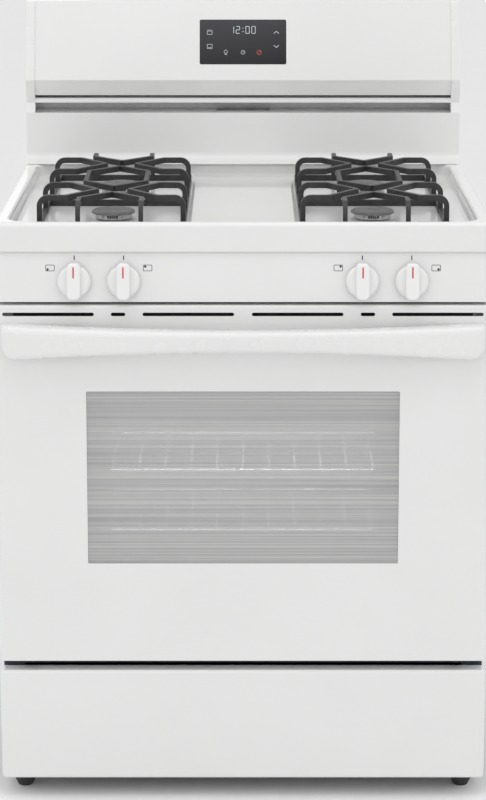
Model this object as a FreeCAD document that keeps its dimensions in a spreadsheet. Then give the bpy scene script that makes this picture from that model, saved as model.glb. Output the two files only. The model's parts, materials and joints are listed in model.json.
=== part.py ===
import FreeCAD, Part
import math
import os
import re
from collections import namedtuple

import Sketcher

# A 30 inch freestanding gas range: four sealed burners under two cast grates, an oven with a
# drop-down door, a storage drawer and a backguard with a clock and oven control.
# Millimetres. +Z is up, the front faces -Y, and the origin is the middle of the footprint.

os.makedirs("parts", exist_ok=True)
doc = FreeCAD.newDocument("gas_range")
sizes = doc.addObject("Spreadsheet::Sheet", "sizes")

# ---------------------------------------------------------------- driving dimensions

DRIVING = {
    "overall_width": 759,
    "overall_depth": 728,
    "overall_height": 1200,
    "body_width": 756,
    "handle_reach": 46,
    "sheet": 2,
    "gap": 0.4,
    # heights of the front, from the floor up
    "leg_height": 34,
    "leg_side": 348,
    "stud_radius": 5,
    "drawer_bottom": 32,
    "drawer_top": 211,
    "door_bottom": 226,
    "trim_bottom": 705,
    "door_top": 795.4,
    "panel_bottom": 800.4,
    "panel_top": 876.9,
    "well_floor": 900,
    "cooktop_top": 922,
    "guard_top": 1008,
    "console_bottom": 1025,
    "console_crease": 1065.5,
    # oven
    "cavity_width": 610,
    "cavity_bottom": 260,
    "cavity_top": 730,
    "cavity_depth": 510,
    "oven_floor": 300,
    "rack_low": 414,
    "rack_high": 512,
    "lamp_side": 220,
    "lamp_height": 660,
    "bake_side": 60,
    "bake_radius": 9,
    "bake_height": 280,
    "broil_height": 700,
    # door
    "skin_depth": 30,
    "liner_depth": 12.5,
    "window_width": 480,
    "window_bottom": 385.8,
    "window_top": 660.4,
    "hinge_height": 246,
    "hinge_setback": 26,
    "hinge_side": 330,
    "handle_half": 368,
    "handle_low": 712,
    "handle_high": 768,
    "pin_radius": 4,
    "running": 0.05,
    # cooktop
    "burner_side": 203.5,
    "burner_front": 150,
    "burner_rear": 406,
    "cap_radius": 34,
    "rim_width": 22,
    "grate_top": 950,
    "grate_bar": 7,
    "grate_half": 115,
    "bar_depth": 9,
    "finger_row": 60,
    "finger_reach": 48,
    "finger_stop": 76,
    "hexagon_point": 28,
    # controls
    "panel_tilt": 6,
    "knob_inner": 181,
    "knob_outer": 256,
    "knob_height": 832,
    "stem_radius": 4,
    "knob_push": 3,
    # services at the rear
    "inlet_side": 330,
    "inlet_height": 790,
    "inlet_radius": 9.3,
    "cord_height": 700,
    # drawer
    "drawer_opening": 345,
    # backguard
    "display_width": 151,
    "display_bottom": 1092,
    "display_top": 1168,
}

DERIVED = {
    "door_face": "-overall_depth / 2 + handle_reach",
    "rear_face": "overall_depth / 2",
    "back_face": "rear_face - 2.4",
    "skin_back": "door_face + skin_depth",
    "liner_back": "skin_back + liner_depth",
    "frame_face": "door_face + 48",
    "frame_back": "frame_face + sheet",
    "cavity_back": "frame_back + cavity_depth",
    "body_half": "body_width / 2",
    "inside_half": "body_half - sheet",
    "door_half": "body_half - 1",
    "leg_front": "door_face + 58",
    "leg_rear": "door_face + 620",
    "drawer_half": "overall_width / 2",
    "cavity_half": "cavity_width / 2",
    "window_half": "window_width / 2",
    "panel_setback": "(panel_top - panel_bottom) * tan(panel_tilt)",
    "knob_face": "door_face + (knob_height - panel_bottom) * tan(panel_tilt)",
    "cooktop_front": "door_face + 4",
    "well_front": "cooktop_front + 14",
    "well_back": "door_face + 580",
    "guard_face": "door_face + 602",
    "cooktop_back": "guard_face + 30",
    "console_lip": "door_face + 615",
    "crease_face": "door_face + 600",
    "console_edge": "door_face + 640",
    "hinge_place": "door_face + hinge_setback",
    "burner_one": "door_face + burner_front",
    "burner_two": "door_face + burner_rear",
    "burner_middle": "(burner_one + burner_two) / 2",
    "grate_front": "well_front + 8",
    "grate_back": "door_face + 533",
    "display_half": "display_width / 2",
    "console_half": "body_half - 15",
    "front_bow": "(handle_half ^ 2 + 24 ^ 2) / 48",
    "back_bow": "((handle_half - 30) ^ 2 + 25 ^ 2) / 50",
    "under_bow": "(handle_half ^ 2 + 17.5 ^ 2) / 35",
    "top_bow": "(handle_half ^ 2 + 5 ^ 2) / 10",
    "manifold_height": "knob_height - 14",
    "manifold_place": "knob_face + 56",
}


def fill_sheet():
    """Write every size into the sheet with its name as alias; derived ones as formulas."""
    rows = [(name, str(amount)) for name, amount in DRIVING.items()]
    rows += [(name, "=" + formula) for name, formula in DERIVED.items()]
    for row, (name, content) in enumerate(rows, start=1):
        sizes.set(f"A{row}", name)
        sizes.set(f"B{row}", content)
        sizes.setAlias(f"B{row}", name)
    doc.recompute()


fill_sheet()


# ---------------------------------------------------------------- helpers

def linked(text):
    """Turn plain size names in a formula into references to the sheet."""
    def reference(match):
        word = match.group()
        return f"sizes.{word}" if word in DRIVING or word in DERIVED else word
    return re.sub(r"[a-z_]+", reference, str(text))


def amount(text):
    """The number that a formula of size names gives now."""
    result = sizes.evalExpression(linked(text))
    return float(getattr(result, "Value", result))


def bind(thing, **formulas):
    """Tie properties to formulas; a double underscore stands for a dot in the property path."""
    for path, text in formulas.items():
        thing.setExpression(path.replace("__", "."), linked(text))


def block(name, x, y, z):
    """A box between two X, two Y and two Z positions."""
    box = doc.addObject("Part::Box", name)
    for size, axis, (low, high) in zip(("Length", "Width", "Height"), "xyz", (x, y, z)):
        bind(box, **{size: f"({high}) - ({low})", f"Placement__Base__{axis}": low})
    return box


TURN_TO = {
    "x": FreeCAD.Rotation(FreeCAD.Vector(0, 1, 0), 90),
    "y": FreeCAD.Rotation(FreeCAD.Vector(1, 0, 0), -90),
    "z": FreeCAD.Rotation(),
}


def rod(name, radius, start, length, along="z", top_radius=None):
    """A round bar, or a cone when it has a top radius, from a start point along one axis."""
    bar = doc.addObject("Part::Cone" if top_radius else "Part::Cylinder", name)
    bar.Placement.Rotation = TURN_TO[along]
    if top_radius:
        bind(bar, Radius1=radius, Radius2=top_radius, Height=length)
    else:
        bind(bar, Radius=radius, Height=length)
    for axis, place in zip("xyz", start):
        bind(bar, **{f"Placement__Base__{axis}": place})
    return bar


def fused(name, pieces):
    union = doc.addObject("Part::MultiFuse", name)
    union.Shapes = pieces
    return union


def carved(name, base, tools):
    """The base with every tool cut out of it."""
    cut = doc.addObject("Part::Cut", name)
    cut.Base = base
    cut.Tool = tools[0] if len(tools) == 1 else fused(name + "_cutters", tools)
    return cut


def grouped(name, pieces):
    """Separate solids that share one node."""
    group = doc.addObject("Part::Compound", name)
    group.Links = pieces
    return group


def copied(name, source, x=0, y=0, z=0):
    """A copy of a piece, shifted from where the piece was made."""
    link = doc.addObject("App::Link", name)
    link.LinkedObject = source
    link.LinkTransform = False
    bind(link, Placement__Base__x=x, Placement__Base__y=y, Placement__Base__z=z)
    return link


def softened(name, base, radius, chosen):
    """Round the edges of a finished piece that the chosen test picks."""
    doc.recompute()
    rounding = doc.addObject("Part::Fillet", name)
    rounding.Base = base
    size = amount(radius)
    picked = [number for number, edge in enumerate(base.Shape.Edges, start=1) if chosen(edge)]
    rounding.Edges = [(number, size, size) for number in picked]
    return rounding


ORIGIN_PLANES = {"front": "XZ_Plane", "side": "YZ_Plane", "plan": "XY_Plane"}
LEVEL_SIGN = {"front": "-1", "side": "1", "plan": "1"}


def new_sketch(body, view, level):
    """A sketch on the body's front (X, Z), side (Y, Z) or plan (X, Y) plane at a level."""
    sketch = body.newObject("Sketcher::SketchObject", f"{body.Name}_{view}")
    roles = {feature.Role: feature for feature in body.Origin.OriginFeatures}
    sketch.AttachmentSupport = [(roles[ORIGIN_PLANES[view]], "")]
    sketch.MapMode = "FlatFace"
    bind(sketch, AttachmentOffset__Base__z=f"{LEVEL_SIGN[view]} * ({level})")
    return sketch


class Outline:
    """Collects a sketch's curves and constraints, then adds them in one go."""

    def __init__(self):
        self.curves = []
        self.helpers = []
        self.constraints = []
        self.formulas = {}

    def curve(self, shape):
        self.curves.append(shape)
        return len(self.curves) - 1

    def tie(self, kind, *places):
        self.constraints.append(Sketcher.Constraint(kind, *places))

    def measure(self, kind, places, text):
        """A dimension that follows a formula."""
        self.formulas[len(self.constraints)] = linked(text)
        self.tie(kind, *places, amount(text))

    def circle(self, across, up, radius):
        centre = FreeCAD.Vector(amount(across), amount(up), 0)
        circle = self.curve(Part.Circle(centre, FreeCAD.Vector(0, 0, 1), amount(radius)))
        self.measure("Radius", (circle,), radius)
        self.measure("DistanceX", (-1, 1, circle, 3), across)
        self.measure("DistanceY", (-1, 1, circle, 3), up)

    def loop(self, corners):
        """A closed outline through corners given as (across, up) or (across, up, rounding)."""
        points = [FreeCAD.Vector(amount(corner[0]), amount(corner[1]), 0) for corner in corners]
        count = len(corners)
        roundings = [rounding_arc(points[index], points[index - 1], points[(index + 1) % count],
                                  amount(corner[2])) if len(corner) == 3 else None
                     for index, corner in enumerate(corners)]
        starts = [rounding.start if rounding else point for rounding, point in zip(roundings, points)]
        ends = [rounding.end if rounding else point for rounding, point in zip(roundings, points)]
        lines = [self.curve(Part.LineSegment(ends[index], starts[(index + 1) % count]))
                 for index in range(count)]
        for index, corner in enumerate(corners):
            into, out = lines[index - 1], lines[index]
            anchor = (-1, 1, out, 1)
            if roundings[index]:
                arc = self.curve(roundings[index].arc)
                first = roundings[index].first_end
                self.tie("Tangent", into, 2, arc, first)
                self.tie("Tangent", out, 1, arc, 3 - first)
                self.measure("Radius", (arc,), corner[2])
                mark = self.curve(Part.Point(points[index]))
                self.helpers.append(mark)
                self.tie("PointOnObject", mark, 1, into)
                self.tie("PointOnObject", mark, 1, out)
                anchor = (-1, 1, mark, 1)
            else:
                self.tie("Coincident", into, 2, out, 1)
            self.measure("DistanceX", anchor, corner[0])
            self.measure("DistanceY", anchor, corner[1])

    def add_to(self, sketch):
        sketch.addGeometry(self.curves)
        for helper in self.helpers:
            sketch.setConstruction(helper, True)
        sketch.addConstraint(self.constraints)
        for index, formula in self.formulas.items():
            sketch.setExpression(f"Constraints[{index}]", formula)


Rounding = namedtuple("Rounding", "arc start end first_end")


def rounding_arc(corner, before, after, radius):
    """The arc that rounds a corner, its two ends, and which of the arc's ends comes first."""
    inward = (before - corner).normalize()
    outward = (after - corner).normalize()
    half_angle = inward.getAngle(outward) / 2
    reach = radius / math.tan(half_angle)
    start = corner + inward * reach
    end = corner + outward * reach
    middle_way = (inward + outward).normalize()
    centre = corner + middle_way * (radius / math.sin(half_angle))
    arc = Part.Arc(start, centre - middle_way * radius, end)
    turns_left = inward.cross(outward).z < 0
    return Rounding(arc, start, end, 1 if turns_left else 2)


def draw(sketch, loops):
    """Each loop is a list of corners, or a tuple (across, up, radius) for a circle."""
    outline = Outline()
    for loop in loops:
        if isinstance(loop, tuple):
            outline.circle(*loop)
        else:
            outline.loop(loop)
    outline.add_to(sketch)


def rectangle(x, z, rounding=None):
    """Corners of an upright rectangle between two positions each way."""
    corners = [(x[0], z[0]), (x[1], z[0]), (x[1], z[1]), (x[0], z[1])]
    return [corner + (rounding,) for corner in corners] if rounding else corners


def extruded(name, view, span, loops):
    """A body padded from outlines in one view, across the span of the third direction."""
    body = doc.addObject("PartDesign::Body", name)
    pad_onto(body, view, span, loops)
    return body


def pad_onto(body, view, span, loops):
    low, high = span
    level = high if view == "front" else low
    sketch = new_sketch(body, view, level)
    draw(sketch, loops)
    pad = body.newObject("PartDesign::Pad", f"{body.Name}_pad")
    pad.Profile = sketch
    bind(pad, Length=f"({high}) - ({low})")
    return pad


def pocketed(body, view, span, loops):
    """Cut outlines out of a body across a span; a pocket runs against its sketch's normal."""
    low, high = span
    level = low if view == "front" else high
    sketch = new_sketch(body, view, level)
    draw(sketch, loops)
    pocket = body.newObject("PartDesign::Pocket", f"{body.Name}_pocket")
    pocket.Profile = sketch
    pocket.Type = "Length"
    bind(pocket, Length=f"({high}) - ({low})")
    doc.recompute()
    before = pocket.BaseFeature.Shape.Volume
    if pocket.Shape.Volume > before - 1:
        raise ValueError(f"a pocket of {body.Name} cuts nothing")
    return pocket


def repeated(pocket, across=(1, "0"), up=(1, "0"), mirrored=False):
    """Repeat a pocket in a grid of (count, spacing) each way, and mirror it left to right."""
    body = pocket.getParentGeoFeatureGroup()
    sketch = pocket.Profile[0]
    repeat = body.newObject("PartDesign::MultiTransform", f"{pocket.Name}_repeat")
    repeat.Originals = [pocket]
    steps = []
    for axis, (count, spacing) in (("H_Axis", across), ("V_Axis", up)):
        if count > 1:
            row = body.newObject("PartDesign::LinearPattern", f"{pocket.Name}_row")
            row.Direction = (sketch, [axis])
            row.Occurrences = count
            bind(row, Length=f"({spacing}) * {count - 1}")
            steps.append(row)
    if mirrored:
        mirror = body.newObject("PartDesign::Mirrored", f"{pocket.Name}_mirror")
        mirror.MirrorPlane = (sketch, ["V_Axis"])
        steps.append(mirror)
    repeat.Transformations = steps
    body.Tip = repeat
    doc.recompute()
    if repeat.Shape.Volume > pocket.Shape.Volume - 1:
        raise ValueError(f"the repeats of {pocket.Name} cut nothing")


def revolved(name, centre_x, centre_y, profile):
    """A body turned about an upright axis from (radius, height) corners."""
    body = doc.addObject("PartDesign::Body", name)
    sketch = new_sketch(body, "front", "0")
    draw(sketch, [profile])
    turn = body.newObject("PartDesign::Revolution", f"{name}_turn")
    turn.Profile = sketch
    turn.ReferenceAxis = (sketch, ["V_Axis"])
    turn.Angle = 360
    bind(body, Placement__Base__x=centre_x, Placement__Base__y=centre_y)
    return body


def rounded_edges(body, radius, chosen):
    """A PartDesign fillet on the edges of the body's last feature that the test picks."""
    doc.recompute()
    base = body.Tip
    names = [f"Edge{number}" for number, edge in enumerate(base.Shape.Edges, start=1)
             if chosen(edge)]
    fillet = body.newObject("PartDesign::Fillet", f"{body.Name}_fillet")
    fillet.Base = (base, names)
    bind(fillet, Radius=radius)
    return fillet


def at_level(axis, text, slack=0.01):
    """A test for edges that lie wholly at one X, Y or Z position."""
    level = amount(text)
    low, high = f"{axis}Min", f"{axis}Max"
    def test(edge):
        box = edge.BoundBox
        return abs(getattr(box, low) - level) < slack and abs(getattr(box, high) - level) < slack
    return test


SIDES = (("left", "-1"), ("right", "1"))
BURNERS = (("front_left", "-burner_side", "burner_one"), ("front_right", "burner_side", "burner_one"),
           ("rear_left", "-burner_side", "burner_two"), ("rear_right", "burner_side", "burner_two"))
KNOBS = (("outer_left", "-knob_outer"), ("inner_left", "-knob_inner"),
         ("inner_right", "knob_inner"), ("outer_right", "knob_outer"))


# ---------------------------------------------------------------- structure

def base_frame():
    """A welded channel frame, open at the top, with holes for the four levelling legs."""
    outer = rectangle(("-inside_half", "inside_half"), ("door_face + 36", "rear_face - 4"))
    inner = rectangle(("-inside_half + 56", "inside_half - 56"),
                      ("door_face + 84", "rear_face - 84"))
    frame = extruded("base_frame", "plan", ("leg_height", "leg_height + 26"), [outer, inner])
    groove = rectangle(("-inside_half + sheet", "inside_half - sheet"),
                       ("door_face + 36 + sheet", "rear_face - 4 - sheet"))
    island = rectangle(("-inside_half + 56 - sheet", "inside_half - 56 + sheet"),
                       ("door_face + 84 - sheet", "rear_face - 84 + sheet"))
    pocketed(frame, "plan", ("leg_height + sheet", "leg_height + 27"), [groove, island])
    holes = [(f"{side} * leg_side", place, "stud_radius + gap")
             for _, side in SIDES for place in ("leg_front", "leg_rear")]
    pocketed(frame, "plan", ("leg_height - 1", "leg_height + 5"), holes)
    return frame


def side_panel(side_name, side):
    """A sheet side with a folded flange behind the face frame and at the rear."""
    outside, inside, lip = f"{side} * body_half", f"{side} * inside_half", f"{side} * (body_half - 18)"
    outline = [(outside, "frame_back"), (outside, "back_face - sheet"), (lip, "back_face - sheet"),
               (lip, "back_face - 2 * sheet"), (inside, "back_face - 2 * sheet"),
               (inside, "frame_back + sheet"), (lip, "frame_back + sheet"), (lip, "frame_back")]
    span = ("leg_height + 26", "panel_top")
    return extruded(f"side_panel_{side_name}", "plan", span, [outline])


def rear_panel():
    """The back sheet, with openings for the gas inlet, the cord inlet and cooling air."""
    panel = extruded("rear_panel", "front", ("back_face - sheet", "back_face"),
                     [rectangle(("-body_half", "body_half"), ("leg_height + 26", "guard_top"))])
    pocketed(panel, "front", ("back_face - 2 * sheet", "back_face + 1"),
             [("-inlet_side", "inlet_height", "30"), ("inlet_side", "cord_height", "14")])
    slot = rectangle(("-215", "-145"), ("560", "568"), "3.9")
    repeated(pocketed(panel, "front", ("back_face - 2 * sheet", "back_face + 1"), [slot]),
             across=(5, "90"), up=(4, "24"))
    return panel


def front_frame():
    """The face frame behind the door: oven opening, drawer opening and hinge slots."""
    frame = extruded("front_frame", "front", ("frame_face", "frame_back"),
                     [rectangle(("-body_half", "body_half"), ("leg_height + 26", "panel_bottom"))])
    openings = [rectangle(("-cavity_half", "cavity_half"), ("oven_floor", "cavity_top"), "22"),
                rectangle(("-drawer_opening", "drawer_opening"), ("62", "206"))]
    openings += [rectangle((f"{side} * hinge_side - 5", f"{side} * hinge_side + 5"),
                           ("hinge_height - 12", "hinge_height + 12")) for _, side in SIDES]
    pocketed(frame, "front", ("frame_face - 1", "frame_back + 1"), openings)
    return frame


def hinge_receivers():
    """Two arms that reach through the face frame to carry the door's hinge pins."""
    arms = []
    for side_name, side in SIDES:
        middle = f"{side} * hinge_side"
        arm = extruded(f"receiver_arm_{side_name}", "side", (f"{middle} - 3", f"{middle} + 3"),
                       [[("hinge_place - 8", "hinge_height - 8", "7.9"),
                         ("frame_back + 60", "hinge_height - 8"),
                         ("frame_back + 60", "hinge_height + 8"),
                         ("hinge_place - 8", "hinge_height + 8", "7.9")],
                        ("hinge_place", "hinge_height", "pin_radius + running")])
        housing = block(f"receiver_housing_{side_name}", (f"{middle} - 12", f"{middle} + 12"),
                        ("frame_back", "frame_back + 70"), ("hinge_height - 16", "hinge_height + 16"))
        arms += [fused(f"receiver_{side_name}", [arm, housing])]
    return grouped("hinge_receivers", arms)


def leveling_legs():
    """Four moulded feet with a threaded stud into the base frame."""
    legs = []
    for side_name, side in SIDES:
        for place_name, place in (("front", "leg_front"), ("rear", "leg_rear")):
            name = f"leg_{place_name}_{side_name}"
            foot = rod(f"{name}_foot", "11.5", (f"{side} * leg_side", place, "0"),
                       "leg_height - gap", top_radius="28")
            stud = rod(f"{name}_stud", "stud_radius",
                       (f"{side} * leg_side", place, "leg_height - 2"), "24")
            legs.append(fused(name, [foot, stud]))
    return grouped("leveling_legs", legs)


def drawer_rails():
    """Channels on both sides that the drawer's runners slide in."""
    rails = []
    for side_name, side in SIDES:
        web, lip, back = f"{side} * 350", f"{side} * 341", f"{side} * 347"
        profile = [(lip, "109.5"), (web, "109.5"), (web, "130.5"), (lip, "130.5"), (lip, "128"),
                   (back, "128"), (back, "112"), (lip, "112")]
        rail = extruded(f"rail_{side_name}", "front", ("frame_back", "frame_back + 590"), [profile])
        low, high = sorted((web, f"{side} * inside_half"), key=amount)
        brackets = [block(f"rail_bracket_{place}_{side_name}", (low, high),
                          (f"frame_back + {place}", f"frame_back + {place + 30}"), ("112", "128"))
                    for place in (60, 500)]
        rails.append(fused(f"drawer_rail_{side_name}", [rail] + brackets))
    return grouped("drawer_rails", rails)


# ---------------------------------------------------------------- oven

def oven_liner():
    """The porcelain oven box, open at the front, with holes for lamp, sensor, gas and flue."""
    wall = "sheet"
    liner = extruded("oven_liner", "front", ("frame_back", "cavity_back"),
                     [rectangle(("-cavity_half - sheet", "cavity_half + sheet"),
                                ("cavity_bottom", f"cavity_top + {wall}"), "5.5")])
    pocketed(liner, "front", ("frame_back - 1", f"cavity_back - {wall}"),
             [rectangle(("-cavity_half", "cavity_half"),
                        (f"cavity_bottom + {wall}", "cavity_top"), "3.5")])
    pocketed(liner, "front", (f"cavity_back - 2 * {wall}", "cavity_back + 1"),
             [("lamp_side", "lamp_height", "20"), ("-lamp_side", "lamp_height", "4"),
              ("-bake_side", "bake_height", "8"), ("-bake_side", "broil_height", "8"),
              rectangle(("-40", "40"), ("cavity_top - 24", "cavity_top - 6"))])
    return liner


def oven_floor_panel():
    """The lift-out floor over the bake burner: a pan on two long legs with heat slots."""
    edge, low, high = "cavity_half - 4", "cavity_bottom + sheet", "oven_floor"
    section = [(f"-({edge})", low), (f"-({edge}) + 1.5", low), (f"-({edge}) + 1.5", f"{high} - 1.5"),
               (f"{edge} - 1.5", f"{high} - 1.5"), (f"{edge} - 1.5", low), (edge, low),
               (edge, high), (f"-({edge})", high)]
    panel = extruded("oven_floor_panel", "front", ("frame_back + 4", "cavity_back - sheet - 4"),
                     [section])
    slot = rectangle(("-267", "-243"), ("frame_back + 70", "frame_back + 78"), "3.9")
    repeated(pocketed(panel, "plan", ("oven_floor - 3", "oven_floor + 1"), [slot]),
             up=(10, "40"), mirrored=True)
    return panel


RACK_LEVELS = ("rack_low", "rack_low + 49", "rack_high", "rack_high + 49")


def rack_supports():
    """A wire ladder on each oven wall with four levels for the racks."""
    ladders = []
    for side_name, side in SIDES:
        wall, ledge = f"{side} * (cavity_half - 3.4)", f"{side} * 291"
        bars = [rod(f"ladder_post_{side_name}_{place}", "3",
                    (wall, f"frame_back + {place}", "oven_floor + 20"), "380")
                for place in (40, 250, 470)]
        for level_number, level in enumerate(RACK_LEVELS):
            height = f"{level} - 6.6"
            bars.append(rod(f"ladder_ledge_{side_name}_{level_number}", "3",
                            (ledge, "frame_back + 36", height), "440", "y"))
            low, high = sorted((ledge, wall), key=amount)
            bars += [block(f"ladder_tie_{side_name}_{level_number}_{place}", (low, high),
                           (f"frame_back + {place} - 2", f"frame_back + {place} + 2"),
                           (f"{height} - 2", f"{height} + 2"))
                     for place in (40, 250, 470)]
        ladders.append(fused(f"ladder_{side_name}", bars))
    return grouped("rack_supports", ladders)


def oven_burner(name, height):
    """A U-shaped burner tube with its feed through the rear wall."""
    tube = "bake_radius"
    legs = [rod(f"{name}_leg_{side_name}", tube,
                (f"{side} * bake_side", "frame_back + 150", height), "280", "y")
            for side_name, side in SIDES]
    bend = doc.addObject("Part::Torus", f"{name}_bend")
    bind(bend, Radius1="bake_side", Radius2=tube, Placement__Base__z=height,
         Placement__Base__y="frame_back + 150")
    half = block(f"{name}_half", ("-bake_side - 20", "bake_side + 20"),
                 ("frame_back + 20", "frame_back + 150"), (f"{height} - 20", f"{height} + 20"))
    front_bend = doc.addObject("Part::Common", f"{name}_front_bend")
    front_bend.Base = bend
    front_bend.Tool = half
    feed = rod(f"{name}_feed", "7", ("-bake_side", "frame_back + 420", height),
               "cavity_back + 50 - frame_back - 420", "y")
    return fused(name, legs + [front_bend, feed])


def oven_insulation():
    """A mineral wool jacket around the oven box, left clear for everything that passes it."""
    jacket = block("jacket", ("-345", "345"), ("frame_back + 4", "cavity_back + 34"),
                   ("cavity_bottom - 26", "cavity_top + 40"))
    box = block("jacket_hollow", ("-cavity_half - sheet", "cavity_half + sheet"),
                ("frame_back + 3", "cavity_back"), ("cavity_bottom", "cavity_top + sheet"))
    passages = [rod("jacket_lamp", "22", ("lamp_side", "cavity_back - 5", "lamp_height"), "50", "y"),
                rod("jacket_sensor", "6", ("-lamp_side", "cavity_back - 5", "lamp_height"), "50", "y"),
                rod("jacket_bake", "9", ("-bake_side", "cavity_back - 5", "bake_height"), "50", "y"),
                rod("jacket_broil", "9", ("-bake_side", "cavity_back - 5", "broil_height"), "50", "y"),
                block("jacket_flue", ("-47", "47"), ("cavity_back - 5", "cavity_back + 40"),
                      ("cavity_top - 30", "cavity_top + 41"))]
    passages += [block(f"jacket_hinge_{side_name}",
                       (f"{side} * hinge_side - 16", f"{side} * hinge_side + 16"),
                       ("frame_back", "frame_back + 75"), ("hinge_height - 20", "hinge_height + 20"))
                 for side_name, side in SIDES]
    return carved("oven_insulation", jacket, [box] + passages)


def flue_duct():
    """The duct that carries oven gases back from the cavity and up to the vent."""
    wall, half, behind = "1.5", "45", "cooktop_back + 2 * sheet"
    low, high, back = "cavity_top - 28", "guard_top - 12", "rear_face - 3 * sheet"
    run = block("duct_run", (f"-{half}", half), ("cavity_back", back), (low, f"{low} + 60"))
    rise = block("duct_rise", (f"-{half}", half), (behind, back), (low, high))
    run_inside = block("duct_run_inside", (f"-{half} + {wall}", f"{half} - {wall}"),
                       (f"cavity_back + {wall}", f"{back} - {wall}"),
                       (f"{low} + {wall}", f"{low} + 60 - {wall}"))
    rise_inside = block("duct_rise_inside", (f"-{half} + {wall}", f"{half} - {wall}"),
                        (f"{behind} + {wall}", f"{back} - {wall}"), (f"{low} + {wall}", "guard_top"))
    mouth = block("duct_mouth", ("-40", "40"), ("cavity_back - 5", "cavity_back + 5"),
                  ("cavity_top - 24", "cavity_top - 6"))
    return carved("flue_duct", fused("duct_solid", [run, rise]), [run_inside, rise_inside, mouth])


def oven_lamp():
    """The oven lamp: a glass cover inside, a socket behind the rear wall."""
    place = ("lamp_side", "cavity_back - 26", "lamp_height")
    cover = rod("lamp_cover", "16", place, "26", "y", top_radius="19")
    socket = rod("lamp_socket", "14", ("lamp_side", "cavity_back", "lamp_height"), "38", "y")
    rim = rod("lamp_rim", "19.4", ("lamp_side", "cavity_back - 3", "lamp_height"), "3", "y")
    return fused("oven_lamp", [cover, socket, rim])


def temperature_sensor():
    """The probe that the oven control reads, on a small flange."""
    probe = rod("probe", "3", ("-lamp_side", "cavity_back - 130", "lamp_height"), "168", "y")
    flange = block("probe_flange", ("-lamp_side - 20", "-lamp_side + 20"),
                   ("cavity_back - sheet - 1.5", "cavity_back - sheet"),
                   ("lamp_height - 9", "lamp_height + 9"))
    return fused("temperature_sensor", [probe, flange])


def door_gasket():
    """The woven seal around the oven opening."""
    outside = rectangle(("-cavity_half - 18", "cavity_half + 18"),
                        ("oven_floor - 14", "cavity_top + 18"), "30")
    inside = rectangle(("-cavity_half - 6", "cavity_half + 6"),
                       ("oven_floor - 4", "cavity_top + 6"), "20")
    gasket = extruded("door_gasket", "front", ("liner_back + gap", "frame_face"), [outside, inside])
    return gasket


def oven_rack(name, height):
    """A wire rack: a frame, two cross bars and wires from front to back."""
    half, front, back = "287.5", "door_face + 80", "cavity_back - 34"
    wires = [rod(f"{name}_side_{side_name}", "3.2", (f"{side} * {half}", front, height),
                 f"{back} - ({front})", "y") for side_name, side in SIDES]
    wires += [rod(f"{name}_cross_{number}", "3", (f"-{half}", place, height), f"2 * {half}", "x")
              for number, place in enumerate((front, f"({front} + {back}) / 2", back))]
    wires += [rod(f"{name}_wire_{number}", "2", (f"{number} * 41", front, f"{height} + 2.5"),
                  f"{back} - ({front})", "y") for number in range(-6, 7)]
    return fused(name, wires)


# ---------------------------------------------------------------- gas system

def gas_manifold():
    """The supply pipe from the regulator, along the side and across behind the valves."""
    pipe = "8"
    across = rod("manifold_across", pipe, ("-inlet_side", "manifold_place", "manifold_height"),
                 "2 * inlet_side - 50", "x")
    along = rod("manifold_along", pipe, ("-inlet_side", "manifold_place", "manifold_height"),
                "rear_face - 60 - manifold_place", "y")
    corner = doc.addObject("Part::Sphere", "manifold_corner")
    bind(corner, Radius="11", Placement__Base__x="-inlet_side",
         Placement__Base__y="manifold_place", Placement__Base__z="manifold_height")
    return fused("gas_manifold", [across, along, corner])


def pressure_regulator():
    """The regulator at the rear, with the threaded inlet for the house gas line."""
    low, high = "rear_face - 62", "rear_face - 3"
    body = rod("regulator_body", "26", ("-inlet_side", "rear_face - 35", "inlet_height - 24"), "44")
    inlet = rod("regulator_inlet", "14", ("-inlet_side", low, "inlet_height"), f"{high} - ({low})", "y")
    riser = block("regulator_riser", ("-inlet_side - 12", "-inlet_side + 12"),
                  ("rear_face - 60", "rear_face - 36"), ("inlet_height", "manifold_height + 12"))
    bore = rod("regulator_bore", "inlet_radius", ("-inlet_side", f"{high} - 18", "inlet_height"),
               "30", "y")
    return carved("pressure_regulator", fused("regulator_solid", [body, inlet, riser]), [bore])


def power_cord_inlet():
    """The bushing in the back sheet that the power cord passes through."""
    barrel = rod("cord_barrel", "13.6", ("inlet_side", "rear_face - 16", "cord_height"),
                 "16", "y")
    flange = rod("cord_flange", "20", ("inlet_side", "back_face - sheet - 4", "cord_height"), "4", "y")
    bore = rod("cord_bore", "5", ("inlet_side", "rear_face - 20", "cord_height"), "24", "y")
    return carved("power_cord_inlet", fused("cord_solid", [barrel, flange]), [bore])


def at_knob(piece, side):
    """Place a piece made along +Z at a knob: +Z leaves the tilted panel, +Y runs up it."""
    piece.Placement.Rotation = FreeCAD.Rotation(FreeCAD.Vector(1, 0, 0), 90 - amount("panel_tilt"))
    bind(piece, Placement__Base__x=side, Placement__Base__y="knob_face",
         Placement__Base__z="knob_height")
    return piece


def gas_valves():
    """Four valve bodies behind the control panel, each bored for its stem."""
    valves = []
    for name, side in KNOBS:
        body = block(f"valve_body_{name}", ("-12", "12"), ("-14", "14"), ("-38", "-12"))
        saddle = block(f"valve_saddle_{name}", ("-9", "9"), ("-14", "8"), ("-46", "-38"))
        bore = rod(f"valve_bore_{name}", "stem_radius + running", ("0", "0", "-34"), "40")
        valves.append(at_knob(carved(f"valve_{name}", fused(f"valve_solid_{name}", [body, saddle]),
                                     [bore]), side))
    return grouped("gas_valves", valves)


def valve_stem(name, side):
    """The stem that turns in its valve; its flat drives the knob."""
    stem = rod(f"stem_bar_{name}", "stem_radius", ("0", "0", "-33"), "33 + 16")
    flat = block(f"stem_flat_{name}", ("-stem_radius", "stem_radius"),
                 ("stem_radius - 1.2", "stem_radius + 1"), ("3", "20"))
    return at_knob(carved(f"valve_stem_{name}", stem, [flat]), side)


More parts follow.
